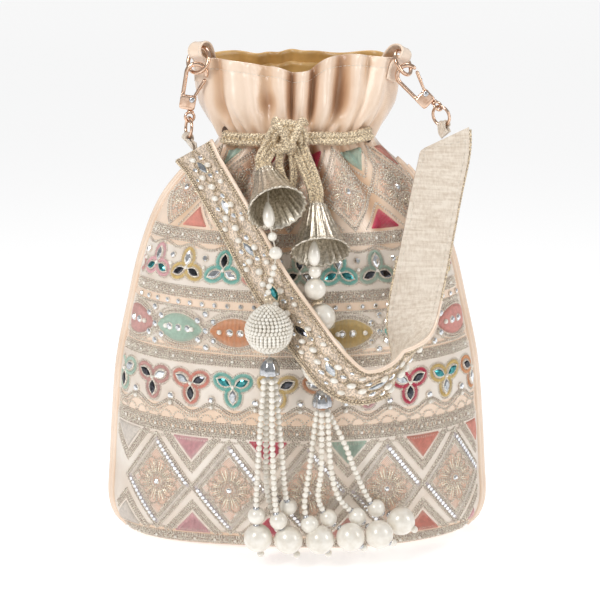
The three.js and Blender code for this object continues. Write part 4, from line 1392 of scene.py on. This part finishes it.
def turnedRows(profileLine, centre, axis, sides, ripple=None):
    # rings of a profile (radius, distance along the axis)
    axis = unit(axis)
    side = unit(np.cross(axis, (0.31, 0.94, 0.12)))
    up = np.cross(axis, side)
    turn = np.arange(sides) / sides * 2 * math.pi
    rows = []
    for k, (radius, along) in enumerate(profileLine):
        r = np.full(sides, float(radius))
        a = np.full(sides, float(along))
        if ripple:
            dr, da = ripple(k, turn, radius, along)
            r, a = r + dr, a + da
        rows.append(vec(*centre) + axis * a[:, None] + side * (r * np.cos(turn))[:, None]
                    + up * (r * np.sin(turn))[:, None])
    return np.array(rows)


def turned(builder, profileLine, centre, axis, sides=32, ripple=None, mark=0):
    rows = turnedRows(profileLine, centre, axis, sides, ripple)
    base = builder.count
    builder.grid(rows, mark, closedAround=True)
    last = base + (len(rows) - 1) * sides
    builder.faces += [[base + i for i in range(sides)][::-1], [last + i for i in range(sides)]]
    builder.marks += [mark, mark]


def sphere(builder, centre, radius, half=None, axis=(0, 0, 1), sides=24, rings=14, mark=0, taper=0.0):
    half = half or radius
    line = []
    for i in range(rings + 1):
        t = -math.pi / 2 + math.pi * i / rings
        t = max(min(t, math.pi / 2 - 0.06), -math.pi / 2 + 0.06)
        shape = 1 - taper * (math.sin(t) * 0.5 + 0.5) ** 1.4
        line.append((radius * math.cos(t) * shape, half * math.sin(t)))
    turned(builder, line, centre, axis, sides, mark=mark)


bell = {
    "length": 26.0,
    "flutes": 22,
    "outside": [(2.6, -0.6), (3.8, -0.4), (4.6, 0.4), (5.4, 1.4), (5.3, 2.4), (6.0, 4), (7.2, 7.6),
                (8.3, 11), (9.7, 15),
                (11.2, 19), (12.7, 22.6), (13.8, 25.2), (14.3, 26)],
    "wall": 0.9,
}


def makeBell(side, crown, axis):
    at = centripetal([(r, a, 0) for r, a in bell["outside"]])
    outside = [tuple(at(i / 46)[:2]) for i in range(47)]
    inside = [(max(r - bell["wall"], 0.9), a + 0.5) for r, a in outside[::-1] if a > 1.5]
    lip = [(14.7, 26.5), (14.5, 27.0), (13.9, 27.0)]
    line = outside + lip + inside
    count = len(outside)

    def ripple(k, turn, radius, along):
        share = np.clip((along - 3.0) / bell["length"], 0, 1)
        wave = np.cos(turn * bell["flutes"])
        ridge = np.abs(np.cos(turn * bell["flutes"] / 2)) ** 8
        dr = ridge * (0.38 + 0.34 * share)
        da = 0.3 * wave * share ** 5
        if k < count:
            rib = sum(bump(along, place, 0.34) for place in (3.6, 4.8))
            dr = dr + 0.42 * rib * np.ones_like(turn) + 0.18 * np.cos(turn * 36) * bump(along, 12.5, 2.0)
        return dr, da

    shape = Builder()
    turned(shape, line, crown, axis, 144, ripple)
    turned(shape, [(1.2, -1.6), (2.6, -1.5), (3.1, -0.9), (2.9, -0.2), (1.2, 0.2)], crown, axis, 24)
    piece = shape.make(f"bellCap{side.title()}", [bellMetal], f"tassel_{side}", "antique_bell")
    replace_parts(piece, f"bell_{side}")


makeBell("left", cordLook["crownLeft"], cordLook["axisLeft"])
makeBell("right", cordLook["crownRight"], cordLook["axisRight"])


def middleOf(node):
    low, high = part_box(node)
    return vec(*((low + high) / 2)) / metre


tassels = {
    "left": {
        "thread": [(-15.8, -44.5, 208.5), (-14.8, -50.5, 203.5), (-14.2, -58, 198.5), (-14, -62.5, 190),
                   (-12, -65.5, 179.6), (-10.4, -67.5, 171.8), (-11.6, -70, 163), (-13.6, -71, 156),
                   (-14.4, -71.2, 149.2), (-13.9, -71.2, 134), (-13.6, -71.1, 112)],
        "beads": (("drop", 3.5, 6.6, 3), ("pearl_small", 2.3, 2.3, 4), ("pearl", 3.3, 3.3, 5),
                  ("bead", 2.3, 1.7, 8)),
        "seedsFrom": (165, 150.5),
        "ball": (12.0, 12.4),
        "cap": (-13.6, -71, 114.6),
        "strands": (
            (((-16.4, -71, 108.2), (-19, -68.5, 74), (-21, -62.5, 39.5), (-21, -60, 30.5),
              (-20.4, -58.5, 17.5),
              (-19, -58.5, 8.6)), "mlt"),
            (((-12.6, -72.5, 108.2), (-12.4, -70, 69), (-11, -64, 37), (-9.6, -62, 28.5), (-4.4, -60, 17),
              (0, -60.5, 9)), "mlt"),
            (((-11, -69.6, 108.2), (-7.4, -65, 62.5), (-5.8, -59, 41), (-4.4, -55.5, 34)), "m"),
            (((-14.6, -68.6, 108.2), (-15.8, -63, 66.5), (-14.5, -53, 35.5), (-8, -49.5, 21)), "m"),
        ),
    },
    "right": {
        "thread": [(9.8, -46.5, 191.5), (9.4, -53.5, 185.5), (8.8, -60, 179), (8.6, -63, 170.6),
                   (9, -62.4, 161),
                   (9.2, -60.4, 151.8), (10.4, -59.4, 145), (12.6, -58.6, 136.6), (14.2, -62.6, 114.6),
                   (12.8, -62.6, 93)],
        "beads": (("drop", 3.5, 6.3, 3), ("pearl_small", 3.2, 3.2, 4), ("pearl", 5.6, 5.6, 5),
                  ("disc", 3.3, 0.9, 6),
                  ("pearl_large", 7.1, 7.1, 7)),
        "seedsFrom": None,
        "ball": (12.0, 13.4),
        "cap": (12.8, -62.6, 95.2),
        "strands": (
            (((10.3, -63, 88.8), (6.4, -61, 56), (4, -59.5, 34), (6.6, -59.5, 25.5), (12, -60, 17),
              (16.4, -60.5, 9.8)), "mlt"),
            (((12.6, -65.4, 88.8), (12.4, -63, 56), (11.2, -58.5, 39), (16.4, -54, 27), (28, -59.5, 18.4),
              (35, -60.5, 12.6)), "mlt"),
            (((15.5, -64.3, 88.8), (17.8, -61.5, 55), (22, -57.5, 39), (31.6, -52, 27), (43, -57, 18.8),
              (50.4, -59.5, 15)), "mlt"),
            (((15.2, -61, 88.8), (25, -58, 68), (30.5, -54, 52), (41.8, -46.5, 29.4), (55, -47, 22.4),
              (62, -49, 18.4)), "mlt"),
        ),
    },
}
pearlSizes = {"m": 4.7, "l": 7.5, "t": 1.9}
seedRadius = 1.62
tasselLook = {"ballBead": 1.02}


def makeStrand(side, number, points, pearls):
    body = f"tassel_{side}"
    at = centripetal(points)
    spans = len(points) - 1
    line = np.array([at(i / 300) for i in range(301)])
    distance = np.concatenate([[0], np.cumsum(np.linalg.norm(np.diff(line, axis=0), axis=1))])
    first = len(points) - len(pearls)
    beads, metal = Builder(), Builder()

    def where(s):
        return np.array([np.interp(s, distance, line[:, i]) for i in range(3)])

    marks = [np.interp((first + i) / spans, np.linspace(0, 1, 301), distance) for i in range(len(pearls))]
    start = 0.0
    for s, kind in zip(marks, pearls):
        radius = pearlSizes[kind]
        end = s - radius - 0.6
        count = max(int((end - start) / (seedRadius * 1.98)), 0)
        for i in range(count):
            sphere(beads, where(start + (i + 0.5) * (end - start) / count), seedRadius, sides=12, rings=8)
        direction = where(s + 0.5) - where(s - 0.5)
        sphere(beads, where(s), radius, sides=28 if radius > 3 else 14, rings=18 if radius > 3 else 9)
        if radius > 3:
            for away in (-1, 1):
                cup = [(1.9, 0.0), (1.7, 0.7), (1.1, 1.3), (0.6, 1.5)]
                turned(metal, cup, where(s) + unit(direction) * away * (radius - 0.45),
                       unit(direction) * away, 10)
        start = s + radius + 0.4
    if metal.count:
        metal.make(f"pearlCups{side.title()}{number}", [steel], body, "silver_cap")
    piece = beads.make(f"pearlStrand{side.title()}{number}", [pearl], body, "pearl")
    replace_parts(piece, f"strand_{side}_{number}")


def makeTassel(side, look):
    body = f"tassel_{side}"
    at = centripetal(look["thread"])
    spans = len(look["thread"]) - 1
    thread = Builder()
    thread.tube(np.array([at(i / 120) for i in range(121)]), 0.38, 6)
    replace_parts(thread.make(f"tasselThread{side.title()}", [threadWhite], body, "thread"),
                f"tassel_thread_{side}")
    for name, radius, half, station in look["beads"]:
        place = vec(*at(station / spans))
        direction = at((station + 0.2) / spans) - at((station - 0.2) / spans)
        shape = Builder()
        material, slot = (goldLace, "gilt_bead") if name in ("disc", "bead") else (pearl, "pearl")
        sphere(shape, place, radius, half, -direction, 28, 18, taper=0.45 if name == "drop" else 0.0)
        piece = shape.make(f"{name.replace('_', '')}Bead{side.title()}", [material], body, slot)
        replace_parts(piece, f"{name}_{side}")
    if look["seedsFrom"]:
        seeds = Builder()
        line = np.array([at(i / 400) for i in range(401)])
        for z in np.arange(look["seedsFrom"][0], look["seedsFrom"][1], -3.1):
            nearest = line[np.argmin(np.abs(line[:, 2] - z))]
            sphere(seeds, nearest, 1.5, sides=14, rings=9)
        seeds.make(f"threadSeeds{side.title()}", [pearl], body, "pearl")
    ballRadius, ballHalf = look["ball"]
    centre = middleOf(f"beaded_ball_{side}")
    ball = Builder()
    bead = tasselLook["ballBead"]
    sphere(ball, centre, ballRadius - 2.0, ballHalf - 1.6, sides=24, rings=14, taper=0.22)
    rows = int(math.pi * ballHalf / (bead * 1.86))
    for r in range(rows + 1):
        t = -math.pi / 2 + math.pi * (r + 0.5) / (rows + 1)
        ring = (ballRadius - 0.6) * math.cos(t) * (1 - 0.22 * max(math.sin(t), 0) ** 1.2)
        count = max(int(2 * math.pi * ring / (bead * 1.98)), 3)
        for i in range(count):
            a = (i + 0.5 * (r % 2)) / count * 2 * math.pi
            place = centre + (ring * math.cos(a), ring * math.sin(a), (ballHalf - 0.6) * math.sin(t))
            sphere(ball, place, bead, sides=8, rings=5)
    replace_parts(ball.make(f"pearlBall{side.title()}", [pearl], body, "beaded_ball"), f"beaded_ball_{side}")
    cap = Builder()
    line = [(1.6, -3.6), (4.0, -4.3), (4.8, -4.2), (4.9, -3.4), (4.75, -1.6), (4.3, 0.4), (3.5, 2.2),
            (2.4, 3.6),
            (1.5, 4.2), (0.8, 4.5)]
    turned(cap, line, look["cap"], (0, 0, 1), 48,
           lambda k, turn, radius, along: (0.10 * radius * np.abs(np.cos(turn * 4)), 0.0))
    piece = cap.make(f"facetedCap{side.title()}", [steel], body, "silver_cap")
    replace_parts(piece, f"tassel_cap_{side}")
    for number, (points, pearls) in enumerate(look["strands"], 1):
        makeStrand(side, number, points, pearls)


for sideName, sideLook in tassels.items():
    makeTassel(sideName, sideLook)
print("tassels ready")


# hooks and rings

hook = {
    "wire": 1.05,
    "bowRadius": 5.2,
    "length": 25.0,
    "pivot": 5.6,
    "blockSize": (8.6, 5.2, 7.2),
    "channel": 2.3,
    "channelFloor": 3.1,
    "eyeRadius": 2.4,
    "eyeWire": 0.72,
    "eyeDrop": 3.7,
    "gateTip": (5.0, 17.0),
    "tabRingWire": 1.05,
    "strapRingRadius": 5.2,
    "strapRingWire": 0.8,
}
hangers = {
    "left": {
        "at": (-54.8, -14.6, 235.8), "up": (0.17, -0.02, 0.985), "gateSide": (1, 0, 0),
        "foot": (-49.6, -10.3, 250), "roll": (0.8, -0.58, 0.12), "rise": (0, 0, 1), "reach": 17.6,
        "eyeTurn": 0.35, "ringDown": (-0.1, 0, -1),
    },
    "right": {
        "at": (70.1, -14.5, 240.4), "up": (-0.71, 0, 0.7), "gateSide": (0.7, 0, 0.71),
        "foot": (48.8, -12.7, 250.5), "roll": (0.62, 0.68, -0.38), "rise": (0.255, 0.279, 0.926),
        "reach": 16.0,
        "eyeTurn": 0.9, "ringDown": (0.3, 0, -0.95),
    },
}


def localFrame(look):
    up = unit(look["up"])
    side = vec(*look["gateSide"])
    side = unit(side - up * np.dot(side, up))
    turn = np.array([side, np.cross(up, side), up])
    origin = vec(*look["at"])
    return lambda points: np.asarray(points, float) @ turn + origin


def shift(builder, place):
    builder.points = [place(np.concatenate(builder.points))]


def roundBlock(builder, low, high, rounding, sides=32, rings=5):
    # a block with rounded corners and softened ends, standing along the third axis
    low, high = vec(*low), vec(*high)
    middle, half = (low + high) / 2, (high - low) / 2
    turn = (np.arange(sides) + 0.5) / sides * 2 * math.pi
    c, s = np.cos(turn), np.sin(turn)
    ends = [math.pi / 2 * i / rings for i in range(rings + 1)]
    heights = [(-half[2] + rounding * (1 - math.cos(t)), rounding * (1 - math.sin(t))) for t in ends]
    heights += [(-z, inset) for z, inset in heights[::-1]]
    rows = []
    for z, inset in heights:
        a, b = half[0] - inset, half[1] - inset
        x = a * np.sign(c) * np.abs(c) ** 0.34
        y = b * np.sign(s) * np.abs(s) ** 0.34
        rows.append(np.stack([x, y, np.full(sides, z)], 1) + middle)
    base = builder.count
    builder.grid(rows, closedAround=True)
    last = base + (len(rows) - 1) * sides
    builder.faces += [[base + i for i in range(sides)][::-1], [last + i for i in range(sides)]]
    builder.marks += [0, 0]


def ringShape(builder, centre, along, across, radius, wire):
    x = unit(along)
    y = unit(vec(*across) - x * np.dot(across, x))
    turn = np.arange(64) / 64 * 2 * math.pi
    path = vec(*centre) + radius * (np.cos(turn)[:, None] * x + np.sin(turn)[:, None] * y)
    normal = np.cross(x, y)
    out = unit(path - centre)
    builder.tube(path, wire, 18, closed=True, frames=(None, out, np.tile(normal, (64, 1))))


def makeHook(side, look):
    place = localFrame(look)
    pivot, wire, half = hook["pivot"], hook["wire"], hook["blockSize"][1] / 2
    bowHeight = hook["length"] - wire - hook["bowRadius"]
    body = Builder()
    sweep = np.linspace(math.pi, 0, 28)
    bow = [(-hook["bowRadius"], 0, z) for z in np.linspace(3, bowHeight, 16)[:-1]]
    bow += [(hook["bowRadius"] * math.cos(t), 0, bowHeight + hook["bowRadius"] * math.sin(t)) for t in sweep]
    bow.append((hook["bowRadius"], 0, bowHeight - 0.7))
    bow = np.array(bow)
    thick = np.full(len(bow), wire) * (1 + 0.16 * bump(bow[:, 2], bowHeight + 5, 3.0))
    thick[-3:] *= (0.96, 0.86, 0.55)
    body.tube(bow, thick, 18)
    x0, x1 = -6.2, 1.9
    roundBlock(body, (x0, -half, 0), (x1, half, hook["channelFloor"]), 1.2)
    for y0, y1 in ((-half, -hook["channel"] / 2 - 0.02), (hook["channel"] / 2 + 0.02, half)):
        roundBlock(body, (x0, y0, 1.2), (x1, y1, hook["blockSize"][2]), 0.7)
    roundBlock(body, (x0 + 0.05, -half + 0.3, 2.0), (-4.1, half - 0.3, hook["blockSize"][2] + 1.4), 0.8)
    shift(body, place)
    piece = body.make(f"hookBody{side.title()}", [roseGold], f"hook_{side}", "rose_gold")
    turnOutwards(piece)
    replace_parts(piece, f"hook_body_{side}")

    gate = Builder()
    tip = hook["gateTip"]
    route = sampleCurve([(0.7, -0.2, pivot + 1.4), (tip[0] * 0.6, 0, pivot + 0.6 * (tip[1] - pivot)),
                         (tip[0], 0, tip[1])], 26)
    girth = np.linspace(0.72, 0.95, 26)
    girth[-3:] *= (0.97, 0.85, 0.5)
    gate.tube(route, girth, 16)
    sphere(gate, route[14] + (0.5, 0, -0.3), 0.62, sides=12, rings=8)
    turned(gate, [(1.3, -0.9), (2.0, -0.8), (2.1, -0.55), (2.1, 0.2), (2.0, 0.4), (1.6, 0.45)],
           (0, 0, pivot), (0, 1, 0), 28)
    shift(gate, place)
    piece = gate.make(f"hookGate{side.title()}", [roseGold], f"gate_{side}", "rose_gold")
    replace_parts(piece, f"hook_gate_{side}")

    rivet = Builder()
    reach = half + 0.35
    line = [(0.4, -reach - 0.72), (1.05, -reach - 0.6), (1.42, -reach - 0.32), (1.5, -reach - 0.02),
            (0.74, -reach), (0.74, reach), (1.5, reach + 0.02), (1.42, reach + 0.32),
            (1.05, reach + 0.6), (0.4, reach + 0.72)]
    turned(rivet, line, (0, 0, pivot), (0, 1, 0), 28)
    shift(rivet, place)
    piece = rivet.make(f"rivet{side.title()}", [steel], f"hook_{side}", "polished_steel")
    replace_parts(piece, f"hook_rivet_{side}")

    spring = Builder()
    t = np.linspace(0, 4.4 * math.pi, 60)
    coil = np.stack([1.28 * np.cos(t), 0.72 + 0.30 * t / t[-1], pivot + 1.28 * np.sin(t)], 1)
    spring.tube(coil, 0.13, 8)
    shift(spring, place)
    piece = spring.make(f"gateSpring{side.title()}", [steel], f"hook_{side}", "polished_steel")
    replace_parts(piece, f"gate_spring_{side}")

    eye = Builder()
    c, s = math.cos(look["eyeTurn"]), math.sin(look["eyeTurn"])
    line = [(0.85, 2.7), (1.5, 2.6), (1.6, 2.2), (1.5, 1.8), (0.85, 1.75), (0.85, -0.3), (1.6, -0.38),
            (1.85, -0.7),
            (1.75, -1.1), (1.2, -1.35), (0.8, -1.5)]
    turned(eye, line, (0, 0, 0), (0, 0, 1), 28)
    ringShape(eye, (0, 0, -hook["eyeDrop"]), (0, 0, 1), (c, s, 0), hook["eyeRadius"], hook["eyeWire"])
    shift(eye, place)
    piece = eye.make(f"swivelEye{side.title()}", [roseGold], "bag", "rose_gold")
    turnOutwards(piece)
    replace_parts(piece, f"swivel_eye_{side}")

    # the tab's ring and the strap's ring
    roll, rise = unit(look["roll"]), unit(look["rise"])
    inBow = place([[0, 0, hook["length"] - 2 * wire - hook["tabRingWire"] - 2.45]])[0]
    top = vec(*look["foot"]) + rise * look["reach"]
    pull = inBow - top
    ring = Builder()
    ringShape(ring, top + pull / 2, pull, roll, np.linalg.norm(pull) / 2, hook["tabRingWire"])
    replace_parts(ring.make(f"tabRing{side.title()}", [roseGold], f"tab_ring_{side}", "rose_gold"),
                f"tab_ring_{side}")
    down = unit(look["ringDown"])
    drop = -hook["eyeDrop"] - (hook["eyeRadius"] - 0.8) + 1.25
    start = place([[0, 0, drop]])[0]
    across = place([[s, -c, 0]])[0] - place([[0, 0, 0]])[0]
    across = unit(across - down * np.dot(across, down))
    centre = start + down * hook["strapRingRadius"]
    ring = Builder()
    ringShape(ring, centre, down, across, hook["strapRingRadius"], hook["strapRingWire"])
    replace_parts(ring.make(f"strapRing{side.title()}", [roseGold], f"strap_ring_{side}", "rose_gold"),
                f"strap_ring_{side}")
    return roll, rise, centre + down * hook["strapRingRadius"], down, across


# small straps of the rim and of the strap's ends

def ribbonPiece(name, route, across, width, thickness, material, slot, node, rounding=0.35):
    # a soft strip with turned edges: the across direction may change along it
    along = tangents(route)
    side = np.tile(across, (len(route), 1))
    side = unit(side - along * (side * along).sum(1, keepdims=True))
    normal = np.cross(along, side)
    turn = np.arange(20) / 20 * 2 * math.pi
    w = width / 2 * np.sign(np.cos(turn)) * np.abs(np.cos(turn)) ** 0.35
    t = thickness / 2 * np.sign(np.sin(turn)) * np.abs(np.sin(turn)) ** 0.8
    edge = 1 + rounding * (np.abs(w) > width * 0.36)
    rows = route[:, None] + side[:, None] * w[:, None] + normal[:, None] * (t * edge)[:, None]
    strip = Builder()
    strip.grid(rows, closedAround=True)
    last = (len(rows) - 1) * 20
    strip.faces += [[i for i in range(20)][::-1], [last + i for i in range(20)]]
    strip.marks += [0, 0]
    piece = strip.make(name, [material], "bag", slot)
    turnOutwards(piece)
    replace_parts(piece, node)
    length = pathLength(route) * metre
    stitches = Embroidery()
    for edgeSide in (-1, 1):
        for face in (-1, 1):
            for i in range(2, len(route) - 2, 2):
                place = (route[i] + side[i] * edgeSide * (width / 2 - 1.1)
                         + normal[i] * face * (thickness / 2 + 0.02))
                stitches.tube(np.array([place - along[i] * 0.75, place + along[i] * 0.75]), 0.16, 6)
    stitches.make(name + "Stitches", [threadWhite], "bag", "thread")


tabSizes = {
    "rimWidth": 8.6,
    "rimThickness": 1.0,
    "strapWidth": 5.2,
    "strapThickness": 0.9,
}


def makeTabs(side, look, places):
    roll, rise, ringFoot, down, across = places
    reach = look["reach"]
    out = unit(np.cross(roll, rise))
    profileLine = [(0, 0), (0, reach - 8), (1.6, reach - 5.6), (4.4, reach - 3.6), (4.9, reach - 0.6),
                   (2.8, reach + 1.8),
                   (-0.4, reach + 2.4), (-3.4, reach + 1.2), (-6, reach - 2.6), (-7.3, reach - 7), (-7.3, 1)]
    route = sampleCurve([vec(*look["foot"]) + out * a + rise * b for a, b in profileLine], 60)
    ribbonPiece(f"rimTab{side.title()}", route, roll, tabSizes["rimWidth"], tabSizes["rimThickness"],
                satin, "satin", f"tab_{side}")
    end = layOnStrap([(0 if side == "left" else strapLength, 0, 0)])[0] - ringFoot
    outward = unit(np.cross(across, down))
    drop, drift, aside = end @ down - 2, end @ outward, end @ across

    def towards(a):
        return a + (drift - a) * 0.4

    loop = [(drift - 0.9, drop), (towards(-2.2), drop * 0.45), (-2.2, 0.2), (-1.54, -1.5), (0, -2.2),
            (1.54, -1.5), (2.2, 0.2), (towards(2.2), drop * 0.45), (drift + 0.9, drop)]
    line = sampleCurve([ringFoot + outward * a + down * b + across * aside * smooth(b, 1.5, drop)
                        for a, b in loop], 50)
    ribbonPiece(f"strapTab{side.title()}", line, across, tabSizes["strapWidth"], tabSizes["strapThickness"],
                silk, "raw_silk", f"strap_tab_{side}")


for sideName, sideLook in hangers.items():
    makeTabs(sideName, sideLook, makeHook(sideName, sideLook))
print("hooks ready")
